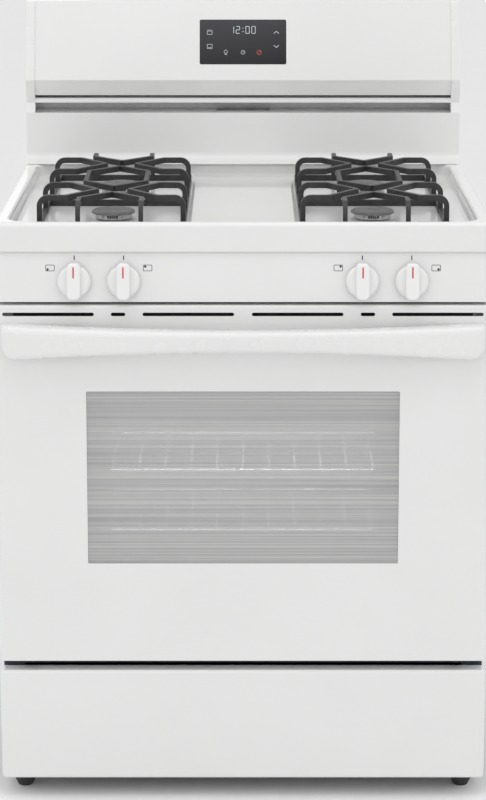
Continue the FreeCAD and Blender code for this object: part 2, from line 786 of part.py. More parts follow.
def knob(name, side):
    """A round knob with a bevelled rim and a raised grip bar, bored for its stem."""
    base, rim_height = "knob_push + 1", "knob_push + 9"
    knob_body = doc.addObject("PartDesign::Body", f"knob_{name}")
    pad_onto(knob_body, "plan", (base, rim_height), [("0", "0", "25")])
    doc.recompute()
    disc = knob_body.Tip
    top_rim = [f"Edge{number}" for number, edge in enumerate(disc.Shape.Edges, start=1)
               if at_level("Z", rim_height)(edge)]
    bevel = knob_body.newObject("PartDesign::Chamfer", f"{knob_body.Name}_bevel")
    bevel.Base = (disc, top_rim)
    bind(bevel, Size="3.5")
    grip = [("-10.5", "-27", "8"), ("10.5", "-27", "8"), ("10.5", "29", "8"), ("-10.5", "29", "8")]
    pad_onto(knob_body, "plan", (base, f"{base} + 21"), [grip])
    rounded_edges(knob_body, "3.5", at_level("Z", f"{base} + 21"))
    pocketed(knob_body, "plan", (f"{base} - 1", f"{base} + 16"), [("0", "0", "stem_radius + running")])
    return at_knob(knob_body, side)


def burner_base():
    """The cast cup under the cooktop that holds one burner and its gas jet."""
    return revolved("burner_base", "0", "0",
                    [("0", "well_floor - 30"), ("22", "well_floor - 30"), ("30", "well_floor - 12"),
                     ("30", "well_floor - 3"), ("0", "well_floor - 3")])


def burner_bases():
    source = burner_base()
    return grouped("burner_bases", [copied(f"burner_base_{name}", source, side, place)
                                    for name, side, place in BURNERS])


def burner_heads():
    """Four aluminium heads with radial flame slots, each standing on the cooktop."""
    head = revolved("burner_head", "0", "0",
                    [("0", "well_floor - 3"), ("17", "well_floor - 3"), ("17", "well_floor"),
                     ("33", "well_floor"), ("33", "well_floor + 2.5"), ("29", "well_floor + 5"),
                     ("29", "well_floor + 12.2"), ("0", "well_floor + 12.2")])
    sketch = new_sketch(head, "front", "-40")
    draw(sketch, [rectangle(("-1.2", "1.2"), ("well_floor + 7", "well_floor + 11"))])
    slot = head.newObject("PartDesign::Pocket", "burner_head_slot")
    slot.Profile = sketch
    bind(slot, Length="22")
    slots = head.newObject("PartDesign::PolarPattern", "burner_head_slots")
    slots.Originals = [slot]
    slots.Axis = (sketch, ["V_Axis"])
    slots.Angle = 360
    slots.Occurrences = 24
    head.Tip = slots
    return grouped("burner_heads", [copied(f"burner_head_{name}", head, side, place)
                                    for name, side, place in BURNERS])


def burner_caps():
    """Four enamelled caps that lie on the burner heads."""
    cap = revolved("burner_cap", "0", "0",
                   [("0", "well_floor + 12.2"), ("cap_radius", "well_floor + 12.2"),
                    ("cap_radius", "well_floor + 14.6", "1"), ("cap_radius - 4", "well_floor + 17", "2"),
                    ("0", "well_floor + 17")])
    return grouped("burner_caps", [copied(f"burner_cap_{name}", cap, side, place)
                                   for name, side, place in BURNERS])


def spark_electrodes():
    """A ceramic igniter beside each burner head."""
    pins = []
    for name, side, place in BURNERS:
        pins.append(rod(f"spark_electrode_{name}", "2.4",
                        (side, f"{place} + 37", "well_floor - 25"), "33"))
    return grouped("spark_electrodes", pins)


def burner_supply_tubes():
    """Aluminium tubes from each valve to its burner base, laid below the cooktop."""
    tubes = []
    radius = 4
    order = (("-knob_outer", "-burner_side", "burner_one"), ("-knob_inner", "-burner_side", "burner_two"),
             ("knob_inner", "burner_side", "burner_two"), ("knob_outer", "burner_side", "burner_one"))
    for number, (valve_side, burner_side, place) in enumerate(order):
        toward = 1 if amount(valve_side) < amount(burner_side) else -1
        start = FreeCAD.Vector(amount(valve_side), amount("knob_face + 44"), amount("knob_height + 6"))
        end = FreeCAD.Vector(amount(burner_side) - toward * 14, amount(place), amount("well_floor - 34"))
        bend = FreeCAD.Vector(end.x, end.y - 30, end.z - 20)
        corners = [start, start + FreeCAD.Vector(0, 30, 12), bend, end]
        path = Part.makePolygon(corners)
        profile = Part.Wire(Part.makeCircle(radius, start, corners[1] - corners[0]))
        shell = Part.BRepOffsetAPI.MakePipeShell(path)
        shell.setTransitionMode(2)
        shell.add(profile)
        shell.build()
        shell.makeSolid()
        tubes.append(shell.shape())
    node = doc.addObject("Part::Feature", "burner_supply_tubes")
    node.Shape = Part.Compound(tubes)
    node.Placement = FreeCAD.Placement()
    return node


# ---------------------------------------------------------------- cooktop and grates

def cooktop():
    """A drawn steel top: raised rim with rolled edges around a recessed well."""
    top = extruded("cooktop", "plan", ("panel_top + gap", "cooktop_top"),
                   [rectangle(("-body_half", "body_half"), ("cooktop_front", "cooktop_back"), "9")])
    rim_edge = at_level("Z", "cooktop_top")
    rounded_edges(top, "7.5", rim_edge)
    pocketed(top, "plan", ("well_floor", "cooktop_top + 1"),
             [rectangle(("-body_half + rim_width", "body_half - rim_width"),
                        ("well_front", "well_back"), "30")])
    rounded_edges(top, "5.5", lambda edge: rim_edge(edge) or at_level("Z", "well_floor")(edge))
    under = rectangle(("-body_half + sheet", "body_half - sheet"),
                      ("cooktop_front + sheet", "cooktop_back - sheet"), "8")
    pocketed(top, "plan", ("panel_top", "well_floor - sheet - 1"), [under])
    ring = [rectangle(("-body_half + 5", "body_half - 5"), ("cooktop_front + 5", "cooktop_back - 5"), "8"),
            rectangle(("-body_half + rim_width - 5", "body_half - rim_width + 5"),
                      ("well_front - 5", "well_back + 5"), "30")]
    pocketed(top, "plan", ("well_floor - sheet - 2", "cooktop_top - 8"), ring)
    holes = [(side, place, "17.3") for _, side, place in BURNERS]
    holes += [(side, f"{place} + 37", "2.6") for _, side, place in BURNERS]
    pocketed(top, "plan", ("well_floor - 10", "well_floor + 1"), holes)
    return top


def top_bar(name, start, end):
    """A straight cast bar between two plan points, level with the top of the grate."""
    (x0, y0), (x1, y1) = [tuple(amount(text) for text in point) for point in (start, end)]
    run = FreeCAD.Vector(x1 - x0, y1 - y0, 0)
    bar = doc.addObject("Part::Box", name)
    bar.Length = run.Length
    bind(bar, Width="grate_bar", Height="bar_depth", Placement__Base__z="grate_top - bar_depth")
    turn = FreeCAD.Rotation(FreeCAD.Vector(1, 0, 0), run)
    offset = turn.multVec(FreeCAD.Vector(0, -amount("grate_bar") / 2, 0))
    bar.Placement.Rotation = turn
    bar.Placement.Base.x = x0 + offset.x
    bar.Placement.Base.y = y0 + offset.y
    return bar


def curved_finger(name, view, middle, foot, tip, low):
    """A finger that stands on the frame and bends over to run level towards the burner."""
    inward = "1" if amount(tip) > amount(foot) else "-1"
    outline = [(foot, low), (f"{foot} + {inward} * (grate_bar + 1)", low),
               (f"{foot} + {inward} * (grate_bar + 1)", "grate_top - bar_depth", "bar_depth"),
               (tip, "grate_top - bar_depth"), (tip, "grate_top"), (foot, "grate_top", "17")]
    span = (f"{middle} - grate_bar / 2", f"{middle} + grate_bar / 2")
    return extruded(name, view, span, [outline])


def grate(side_name, side):
    """One cast grate over two burners: a frame on the cooktop, curved fingers and two hexagons."""
    name = f"grate_{side_name}"
    middle = f"{side} * burner_side"
    west, east = f"{middle} - grate_half", f"{middle} + grate_half"
    foot = ("well_floor + gap", "well_floor + 10")
    bars = grate_frame(name, (west, east), foot)
    bars += grate_fingers(name, middle, (west, east), foot[0])
    bars += grate_hexagons(name, middle, foot)
    return fused(name, bars)


def grate_frame(name, span, foot):
    """The low rectangle that rests in the well, with one bar across its middle."""
    west, east = span
    run = ("grate_front", "grate_back")
    bars = [block(f"{name}_rail_west", (west, f"{west} + grate_bar"), run, foot),
            block(f"{name}_rail_east", (f"{east} - grate_bar", east), run, foot)]
    places = ("grate_front", "burner_middle - grate_bar / 2", "grate_back - grate_bar")
    for number, place in enumerate(places):
        bars.append(block(f"{name}_cross_{number}", span, (place, f"{place} + grate_bar"), foot))
    return bars


def grate_fingers(name, middle, span, low):
    """Curved fingers from both sides, each carried on by a bar that slants to its burner."""
    west, east = span
    bars = []
    for burner, place in (("one", "burner_one"), ("two", "burner_two")):
        for row, shift in (("near", "-finger_row"), ("far", "finger_row")):
            level = f"{place} + {shift}"
            label = f"{name}_{burner}_{row}"
            bars.append(curved_finger(f"{label}_west", "front", level, west, f"{west} + finger_reach", low))
            bars.append(curved_finger(f"{label}_east", "front", level, east, f"{east} - finger_reach", low))
            bars.append(top_bar(f"{label}_west_tip", (f"{west} + finger_reach - 3", level),
                                (f"{middle} - 25", place)))
            bars.append(top_bar(f"{label}_east_tip", (f"{east} - finger_reach + 3", level),
                                (f"{middle} + 25", place)))
    return bars


def grate_hexagons(name, middle, foot):
    """The fingers from front and back, and the bars that close a hexagon round each burner."""
    bars = []
    for column, shift in (("left", "-finger_reach"), ("right", "finger_reach")):
        across = f"{middle} + {shift}"
        width = (f"{across} - grate_bar / 2", f"{across} + grate_bar / 2")
        label = f"{name}_{column}"
        bars.append(curved_finger(f"{label}_front", "side", across, "grate_front",
                                  "burner_one - finger_stop", foot[0]))
        bars.append(curved_finger(f"{label}_back", "side", across, "grate_back",
                                  "burner_two + finger_stop", foot[0]))
        for burner in ("burner_one", "burner_two"):
            for end, sign in (("near", "-1"), ("far", "1")):
                bars.append(top_bar(f"{label}_{burner}_{end}",
                                    (across, f"{burner} + {sign} * (finger_stop + 2)"),
                                    (middle, f"{burner} + {sign} * hexagon_point")))
        bars.append(block(f"{label}_bridge", width, ("burner_one + finger_stop", "burner_two - finger_stop"),
                          ("grate_top - bar_depth", "grate_top")))
        bars.append(block(f"{label}_post", width,
                          ("burner_middle - grate_bar / 2", "burner_middle + grate_bar / 2"),
                          (foot[0], "grate_top - bar_depth")))
    return bars


# ---------------------------------------------------------------- control panel and backguard

def control_panel():
    """The tilted porcelain panel the knobs stand on, open at the back."""
    def section(inset):
        low, high = f"panel_bottom + {inset}", f"panel_top - {inset}"
        front_low = f"door_face + {inset}"
        front_high = f"door_face + panel_setback + {inset}"
        return [(front_low, low), ("frame_back", low), ("frame_back", high), (front_high, high)]
    panel = extruded("control_panel", "side", ("-body_half", "body_half"), [section("0")])
    hollow = section("sheet")
    hollow[1] = ("frame_back + 1", hollow[1][1])
    hollow[2] = ("frame_back + 1", hollow[2][1])
    pocketed(panel, "side", ("-body_half + sheet", "body_half - sheet"), [hollow])
    pocketed(panel, "front", ("door_face - 1", "door_face + 16"),
             [(side, "knob_height", "6.5") for _, side in KNOBS])
    return panel


def backguard_panel():
    """The porcelain riser behind the cooktop, with a hollow curve at its foot."""
    section = [("guard_face - 34", "cooktop_top + gap"), ("guard_face + sheet", "cooktop_top + gap"),
               ("guard_face + sheet", "guard_top - sheet"), ("rear_face - 20", "guard_top - sheet"),
               ("rear_face - 20", "guard_top"), ("guard_face", "guard_top"),
               ("guard_face", "cooktop_top + 3", "15"), ("guard_face - 34", "cooktop_top + 1.4")]
    riser = extruded("backguard_panel", "side", ("-body_half", "body_half"), [section])
    behind = ("guard_face + sheet", "rear_face")
    notches = [rectangle(sorted((f"{side} * (console_half - gap)", f"{side} * (body_half + 1)"),
                                key=amount), behind) for _, side in SIDES]
    flue_hole = rectangle(("-47", "47"), ("cooktop_back + sheet", "rear_face"))
    pocketed(riser, "plan", ("guard_top - 2 * sheet", "guard_top + 1"), notches + [flue_hole])
    return riser


def console_skin(inset):
    """The side outline of the console above its lip: lower face, crease, leaning face and top."""
    back = "rear_face - 16" if inset == "0" else "rear_face"
    return [(back, f"overall_height - {inset}"), (f"console_edge + {inset}", f"overall_height - {inset}"),
            (f"crease_face + {inset}", "console_crease")]


def console_panel():
    """The folded console skin, open behind, with a window for the display and a rolled lip."""
    lip = "console_lip - 6"
    outside = console_skin("0") + [("console_lip", "console_bottom + 8"), (lip, "console_bottom + 3"),
                                   (lip, "console_bottom"), ("rear_face - 16", "console_bottom")]
    panel = extruded("console_panel", "side", ("-console_half", "console_half"), [outside])
    inside = console_skin("sheet") + [("console_lip + sheet", "console_bottom + sheet"),
                                      ("rear_face", "console_bottom + sheet")]
    pocketed(panel, "side", ("-console_half - 1", "console_half + 1"), [inside])
    pocketed(panel, "front", ("crease_face - 1", "console_edge + 12"),
             [rectangle(("-display_half", "display_half"), ("display_bottom", "display_top"), "3")])
    return panel


def console_end_caps():
    """Moulded caps that close the console's two ends and carry it on the riser."""
    caps = []
    for side_name, side in SIDES:
        low, high = sorted((f"{side} * console_half", f"{side} * body_half"), key=amount)
        outline = [("guard_face + sheet", "cooktop_top + gap"), ("cooktop_back + gap", "cooktop_top + gap"),
                   ("cooktop_back + gap", "panel_top + gap"), ("back_face - sheet", "panel_top + gap"),
                   ("back_face - sheet", "overall_height", "4"), ("console_edge - 2", "overall_height", "3"),
                   ("crease_face - 2", "console_crease", "3"), ("console_lip - 3", "console_bottom", "3"),
                   ("guard_face + sheet", "guard_top", "2")]
        caps.append(extruded(f"console_end_cap_{side_name}", "side", (low, high), [outline]))
    return grouped("console_end_caps", caps)


def console_rear_cover():
    """The sheet that closes the console's back, folded round the flue space."""
    cover = extruded("console_rear_cover", "side", ("-console_half", "console_half"),
                     [[("rear_face - 16", "guard_top"), ("rear_face - 14", "guard_top"),
                       ("rear_face - 14", "overall_height - 4"), ("rear_face - 16", "overall_height - 4")]])
    slot = rectangle(("-270", "-210"), ("console_bottom + 32", "console_bottom + 38"), "2.9")
    repeated(pocketed(cover, "front", ("rear_face - 17", "rear_face - 13"), [slot]),
             across=(7, "80"), up=(3, "16"))
    return cover


def display_window():
    """The tinted glass over the clock, leaning with the console."""
    lean = "(console_edge - crease_face) / (overall_height - console_crease)"
    def face(height, depth):
        return (f"crease_face + ({height} - console_crease) * {lean} + {depth}", height)
    low, high = "display_bottom + 0.4", "display_top - 0.4"
    section = [face(low, "0.3"), face(low, "3.3"), face(high, "3.3"), face(high, "0.3")]
    glass = extruded("display_window", "side", ("-display_half + 0.4", "display_half - 0.4"), [section])
    rounded_edges(glass, "2.8", lambda edge: abs(edge.BoundBox.XLength) < 0.01 and 2.5 < edge.Length < 4)
    return glass


def control_board():
    """The oven control's circuit board behind the display."""
    board = block("board_plate", ("-95", "95"), ("console_edge + 6", "console_edge + 7.6"),
                  ("display_bottom - 12", "display_top + 8"))
    clock = block("board_clock", ("-40", "40"), ("console_edge - 1", "console_edge + 6"),
                  ("display_bottom + 30", "display_top - 12"))
    relay = block("board_relays", ("-80", "-30"), ("console_edge + 7.6", "rear_face - 20"),
                  ("display_bottom", "display_bottom + 26"))
    return fused("control_board", [board, clock, relay])


def panel_screws():
    """Hexagon-headed sheet screws: along the back sheet and up its sides."""
    places = [(f"{side} * (body_half - 9)", height) for _, side in SIDES
              for height in ("120", "330", "540", "750", "865")]
    places += [(f"{column} * 180", height) for column in (-1, 0, 1) for height in ("80", "985")]
    screws = []
    for number, (side, height) in enumerate(places):
        head = doc.addObject("Part::Prism", f"screw_{number}")
        head.Polygon = 6
        head.Placement.Rotation = TURN_TO["y"]
        bind(head, Circumradius="4.2", Height="rear_face - back_face", Placement__Base__x=side,
             Placement__Base__y="back_face", Placement__Base__z=height)
        screws.append(head)
    return grouped("panel_screws", screws)


# ---------------------------------------------------------------- door

def door_outer_panel():
    """The porcelain door skin: a pan, open at the back, with the window opening."""
    x, z = ("-door_half", "door_half"), ("door_bottom", "trim_bottom")
    skin = extruded("door_outer_panel", "front", ("door_face", "skin_back"), [rectangle(x, z)])
    rounded_edges(skin, "3", lambda edge: at_level("Y", "door_face")(edge)
                  and (edge.BoundBox.ZMax < amount("trim_bottom") - 1 or edge.BoundBox.XMax < 0
                       or edge.BoundBox.XMin > 0))
    pocketed(skin, "front", ("door_face + sheet", "skin_back + 1"),
             [rectangle(("-door_half + sheet", "door_half - sheet"),
                        ("door_bottom + sheet", "trim_bottom - sheet"), "3")])
    pocketed(skin, "front", ("door_face - 1", "door_face + 2 * sheet"),
             [rectangle(("-window_half", "window_half"), ("window_bottom", "window_top"), "2")])
    slots = [rectangle((f"{side} * hinge_side - 9", f"{side} * hinge_side + 9"),
                       ("door_face + sheet + 4", "skin_back + 1")) for _, side in SIDES]
    pocketed(skin, "plan", ("door_bottom - 1", "door_bottom + sheet + 1"), slots)
    return skin


def door_window():
    """The outer glass, set flush in the skin's window opening and lapped behind it."""
    glass = extruded("door_window", "front", ("door_face + sheet", "door_face + sheet + 4"),
                     [rectangle(("-window_half - 14", "window_half + 14"),
                                ("window_bottom - 14", "window_top + 14"), "6")])
    pad_onto(glass, "front", ("door_face + 0.4", "door_face + sheet"),
             [rectangle(("-window_half + 0.3", "window_half - 0.3"),
                        ("window_bottom + 0.3", "window_top - 0.3"), "2")])
    return glass


def door_top_trim():
    """The cap across the top of the door, open at the back, with two rows of vent slots."""
    trim = extruded("door_top_trim", "front", ("door_face", "skin_back"),
                    [rectangle(("-body_half", "body_half"), ("trim_bottom", "door_top"))])
    rounded_edges(trim, "4", lambda edge: at_level("Y", "door_face")(edge)
                  and edge.BoundBox.ZMin > amount("trim_bottom") - 1
                  and edge.BoundBox.ZMax > amount("trim_bottom") + 1)
    pocketed(trim, "front", ("door_face + sheet", "skin_back + 1"),
             [rectangle(("-body_half + sheet", "body_half - sheet"),
                        ("trim_bottom - 1", "door_top - sheet"))])
    height = "door_top - 42.8"
    slots = [rectangle(ends, (f"{height} - 2.8", f"{height} + 2.8"), "2.75")
             for ends in (("13.5", "152.7"), ("179", "200.9"), ("226.8", "366"))]
    repeated(pocketed(trim, "front", ("door_face - 1", "door_face + 2 * sheet"), slots),
             up=(2, "28.4"), mirrored=True)
    return trim


def door_handle():
    """A bow handle: deeper and taller at its ends, standing clear of the trim between them."""
    blank = block("handle_blank", ("-handle_half", "handle_half"),
                  ("door_face - handle_reach", "door_face"), ("handle_low", "handle_high"))
    front_bow = rod("handle_front_bow", "front_bow",
                    ("0", "door_face - handle_reach + front_bow", "handle_low - 5"), "70")
    back_bow = rod("handle_back_bow", "back_bow",
                   ("0", "door_face - 25 + back_bow", "handle_low - 5"), "70")
    under_bow = rod("handle_under_bow", "under_bow",
                    ("0", "door_face - 60", "handle_low + 17.5 - under_bow"), "120", "y")
    top_bow = rod("handle_top_bow", "top_bow",
                  ("0", "door_face - 60", "handle_high - 5 + top_bow"), "120", "y")
    bow = doc.addObject("Part::Common", "handle_bow")
    bow.Base = blank
    bow.Tool = front_bow
    inner = doc.addObject("Part::Common", "handle_inner")
    inner.Base = block("handle_inner_blank", ("-handle_half + 34", "handle_half - 34"),
                       ("door_face - handle_reach - 1", "door_face + 1"),
                       ("handle_low - 1", "handle_high + 1"))
    inner.Tool = back_bow
    shaped = carved("handle_shaped", bow, [inner, under_bow, top_bow])
    return softened("door_handle", shaped, "6", handle_edge)


def handle_edge(edge):
    """The long outer edges of the handle: all that lie clear of the trim and the finger gap."""
    box = edge.BoundBox
    outer = box.YMax < amount("door_face") - 1 and box.XMax - box.XMin > 300
    front = box.YMin < amount("door_face - handle_reach") + 6
    return outer and front


def door_liner():
    """The porcelain inside of the door: a flange and a raised plug with its window."""
    liner = extruded("door_liner", "front", ("skin_back", "skin_back + 1.5"),
                     [rectangle(("-352", "352"), ("door_bottom + 32", "door_top - 18"), "14")])
    pad_onto(liner, "front", ("skin_back + 1.5", "liner_back"),
             [rectangle(("-cavity_half - 20", "cavity_half + 20"),
                        ("oven_floor - 15", "cavity_top + 19"), "24")])
    pocketed(liner, "front", ("skin_back - 1", "liner_back - 1.5"),
             [rectangle(("-cavity_half - 18.5", "cavity_half + 18.5"),
                        ("oven_floor - 13.5", "cavity_top + 17.5"), "22")])
    pocketed(liner, "front", ("liner_back - 3", "liner_back + 1"),
             [rectangle(("-205", "205"), ("405", "640"), "10")])
    return liner


def door_inner_glass():
    return extruded("door_inner_glass", "front", ("liner_back - 5.5", "liner_back - 1.5"),
                    [rectangle(("-218", "218"), ("392", "653"), "8")])


def door_insulation():
    """The mineral wool inside the door, around the window."""
    return extruded("door_insulation", "front", ("door_face + 8", "skin_back"),
                    [rectangle(("-door_half + 6", "door_half - 6"), ("door_bottom + 46", "trim_bottom - 5"),
                               "10"),
                     rectangle(("-window_half - 16", "window_half + 16"),
                               ("window_bottom - 16", "window_top + 16"), "8")])


def door_hinges():
    """Two hinge clevises inside the door, each with its pin through the receiver's arm."""
    clevises = []
    for side_name, side in SIDES:
        middle = f"{side} * hinge_side"
        cheeks = [block(f"cheek_{side_name}_{number}", (f"{middle} + {low}", f"{middle} + {low} + 4"),
                        ("door_face + 14", "skin_back"), ("hinge_height - 8", "door_bottom + 46"))
                  for number, low in enumerate((-8, 4))]
        bridge = block(f"hinge_bridge_{side_name}", (f"{middle} - 8", f"{middle} + 8"),
                       ("door_face + 8", "door_face + 14"), ("hinge_height - 8", "door_bottom + 46"))
        pin = rod(f"hinge_pin_{side_name}", "pin_radius",
                  (f"{middle} - 8", "hinge_place", "hinge_height"), "16", "x")
        clevises.append(fused(f"door_hinge_{side_name}", cheeks + [bridge, pin]))
    return grouped("door_hinges", clevises)


# ---------------------------------------------------------------- drawer

def drawer_front():
    """The porcelain drawer front: a pan with a rolled top edge that serves as the pull."""
    x, z = ("-drawer_half", "drawer_half"), ("drawer_bottom", "drawer_top")
    front = extruded("drawer_front", "front", ("door_face", "door_face + 24"), [rectangle(x, z, "6")])
    rounded_edges(front, "5", at_level("Y", "door_face"))
    pocketed(front, "front", ("door_face + sheet", "door_face + 25"),
             [rectangle(("-drawer_half + sheet", "drawer_half - sheet"),
                        ("drawer_bottom + sheet", "drawer_top - sheet"), "4")])
    return front


def drawer_box():
    """The sheet tray behind the drawer front."""
    box = extruded("drawer_box", "plan", ("66", "190"),
                   [rectangle(("-338", "338"), ("door_face + sheet", "door_face + 620"))])
    pocketed(box, "plan", ("67.5", "191"),
             [rectangle(("-336.5", "336.5"), ("door_face + sheet + 1.5", "door_face + 618.5"), "10")])
    return box


def drawer_runners():
    """Slide strips along the tray's sides."""
    strips = []
    for side_name, side in SIDES:
        low, high = sorted((f"{side} * 338", f"{side} * 344"), key=amount)
        strips.append(block(f"runner_{side_name}", (low, high), ("door_face + 60", "door_face + 615"),
                            ("113", "127")))
    return grouped("drawer_runners", strips)


# ---------------------------------------------------------------- assembly

def build():
    """Make every sub-part of the range."""
    nodes = [base_frame(), leveling_legs(), rear_panel(), front_frame(), hinge_receivers(),
             drawer_rails(), oven_liner(), oven_floor_panel(), rack_supports(),
             oven_burner("bake_burner", "bake_height"), oven_burner("broil_burner", "broil_height"),
             oven_insulation(), flue_duct(), oven_lamp(), temperature_sensor(), door_gasket(),
             oven_rack("rack_lower", "rack_low"), oven_rack("rack_upper", "rack_high"),
             gas_manifold(), pressure_regulator(), power_cord_inlet(), gas_valves(),
             burner_bases(), burner_heads(), burner_caps(), spark_electrodes(),
             burner_supply_tubes(), cooktop(), control_panel(), backguard_panel(), console_panel(),
             console_end_caps(), console_rear_cover(), display_window(), control_board(),
             panel_screws(), door_outer_panel(), door_window(), door_top_trim(), door_handle(),
             door_liner(), door_inner_glass(), door_insulation(), door_hinges(), drawer_front(),
             drawer_box(), drawer_runners()]
    nodes += [side_panel(name, side) for name, side in SIDES]
    nodes += [grate(name, side) for name, side in SIDES]
    nodes += [valve_stem(name, side) for name, side in KNOBS]
    nodes += [knob(name, side) for name, side in KNOBS]
    return nodes


def check(nodes):
    """Stop when any object failed to build or any node's shape is unusable."""
    for thing in doc.Objects:
        if "Invalid" in thing.State or "Error" in thing.State:
            raise ValueError(f"{thing.Name} did not build")
    for node in nodes:
        if node.Shape.isNull() or not node.Shape.isValid():
            raise ValueError(f"{node.Label} has no valid shape")


def export(nodes):
    for node in nodes:
        node.Shape.exportStep(os.path.join("parts", f"{node.Label}.step"))


parts_of_range = build()
doc.recompute()
check(parts_of_range)
export(parts_of_range)
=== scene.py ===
import json
import math

import bmesh
import bpy
from mathutils import Matrix, Vector


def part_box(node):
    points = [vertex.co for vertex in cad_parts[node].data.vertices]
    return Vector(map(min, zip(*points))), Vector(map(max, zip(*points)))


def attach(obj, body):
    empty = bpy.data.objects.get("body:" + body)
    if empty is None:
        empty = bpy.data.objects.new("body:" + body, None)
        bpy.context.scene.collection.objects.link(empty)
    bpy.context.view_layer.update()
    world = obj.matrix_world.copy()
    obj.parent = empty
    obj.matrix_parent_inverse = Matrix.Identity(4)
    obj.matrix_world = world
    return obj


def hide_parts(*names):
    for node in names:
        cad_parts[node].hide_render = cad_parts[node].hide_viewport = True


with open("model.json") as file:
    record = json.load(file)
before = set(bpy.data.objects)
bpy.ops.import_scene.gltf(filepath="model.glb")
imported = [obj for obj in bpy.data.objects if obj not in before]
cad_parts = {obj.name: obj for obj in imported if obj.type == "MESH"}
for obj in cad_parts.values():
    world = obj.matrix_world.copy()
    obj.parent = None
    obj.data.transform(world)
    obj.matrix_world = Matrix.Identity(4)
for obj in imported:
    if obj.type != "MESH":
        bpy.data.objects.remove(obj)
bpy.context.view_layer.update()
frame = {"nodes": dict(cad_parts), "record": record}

MM = 0.001
PANEL_TILT = math.radians(6)


# ---------------------------------------------------------------- material tools

def new_material(name, **socket_values):
    """A principled material; every plain number goes straight on the shader's own socket."""
    material = bpy.data.materials.new(name)
    material.use_nodes = True
    shader = material.node_tree.nodes["Principled BSDF"]
    for socket, value in socket_values.items():
        shader.inputs[socket.replace("_", " ")].default_value = value
    return material, material.node_tree, shader


def add_node(tree, kind, inputs=None, **settings):
    node = tree.nodes.new(kind)
    for setting, value in settings.items():
        setattr(node, setting, value)
    for socket, value in (inputs or {}).items():
        if isinstance(value, bpy.types.NodeSocket):
            tree.links.new(value, node.inputs[socket])
        else:
            node.inputs[socket].default_value = value
    return node


def place(tree):
    """The point being shaded, in the object's own metres."""
    return add_node(tree, "ShaderNodeTexCoord").outputs["Object"]


def stretched(tree, scale):
    return add_node(tree, "ShaderNodeMapping", {"Vector": place(tree), "Scale": scale}).outputs["Vector"]


def noise(tree, scale, detail=3.0, where=None):
    inputs = {"Scale": scale, "Detail": detail, "Vector": where or place(tree)}
    return add_node(tree, "ShaderNodeTexNoise", inputs).outputs["Fac"]


def ramp(tree, factor, *stops):
    """Colours or greys along a factor; each stop is (position, grey or colour)."""
    node = add_node(tree, "ShaderNodeValToRGB", {"Fac": factor})
    elements = node.color_ramp.elements
    while len(elements) < len(stops):
        elements.new(0.5)
    for element, (position, colour) in zip(elements, stops):
        element.position = position
        grey = not isinstance(colour, (tuple, list))
        element.color = (colour, colour, colour, 1) if grey else (*colour, 1)
    return node.outputs["Color"]


def spread(tree, factor, low, high):
    """Stretch a factor from 0 to 1 over a range of values."""
    inputs = {"Value": factor, "To Min": low, "To Max": high}
    return add_node(tree, "ShaderNodeMapRange", inputs).outputs["Result"]


def calc(tree, operation, *values):
    """One arithmetic step on sockets or numbers."""
    return add_node(tree, "ShaderNodeMath", dict(enumerate(values)), operation=operation).outputs[0]


def add_bump(tree, shader, height, distance):
    bump = add_node(tree, "ShaderNodeBump", {"Height": height, "Distance": distance, "Strength": 1.0})
    tree.links.new(bump.outputs["Normal"], shader.inputs["Normal"])


def tint(tree, shader, factor, *stops):
    tree.links.new(ramp(tree, factor, *stops), shader.inputs["Base Color"])


def roughen(tree, shader, factor, low, high):
    tree.links.new(spread(tree, factor, low, high), shader.inputs["Roughness"])


def shades(colour, change):
    """The same colour a little darker and a little lighter."""
    return ([channel * (1 - change) for channel in colour],
            [min(1.0, channel * (1 + change)) for channel in colour])


# ---------------------------------------------------------------- materials

def glossy_white(name, colour, peel_scale, peel_depth, rough_low, rough_high):
    """Porcelain or moulded plastic: a faint cloudiness and a fine orange peel."""
    material, tree, shader = new_material(name, Coat_Weight=0.35, Coat_Roughness=0.06)
    darker, lighter = shades(colour, 0.012)
    cloud = noise(tree, 7.0, 4.0)
    tint(tree, shader, cloud, (0.3, darker), (0.7, lighter))
    peel = noise(tree, peel_scale, 2.0)
    roughen(tree, shader, noise(tree, 30.0), rough_low, rough_high)
    add_bump(tree, shader, peel, peel_depth)
    return material


def rough_metal(name, colour, grain, depth, roughness, metallic=1.0, change=0.12, stretch=None):
    """Cast, drawn or brushed metal: mottled tone, grain in the surface and uneven gloss."""
    material, tree, shader = new_material(name, Metallic=metallic)
    where = stretched(tree, stretch) if stretch else None
    darker, lighter = shades(colour, change)
    tint(tree, shader, noise(tree, grain / 6, 5.0, where), (0.3, darker), (0.7, lighter))
    roughen(tree, shader, noise(tree, grain / 3, 3.0, where), roughness - 0.08, roughness + 0.08)
    add_bump(tree, shader, noise(tree, grain, 4.0, where), depth)
    return material


def galvanised_sheet():
    """Zinc-coated sheet with its crystal spangle."""
    material, tree, shader = new_material("galvanised_sheet", Metallic=1.0)
    cells = add_node(tree, "ShaderNodeTexVoronoi", {"Vector": place(tree), "Scale": 70.0})
    shade = add_node(tree, "ShaderNodeSeparateColor", {"Color": cells.outputs["Color"]}).outputs["Red"]
    tint(tree, shader, shade, (0.0, 0.46), (1.0, 0.62))
    roughen(tree, shader, shade, 0.38, 0.55)
    add_bump(tree, shader, noise(tree, 240.0), 0.00008)
    return material


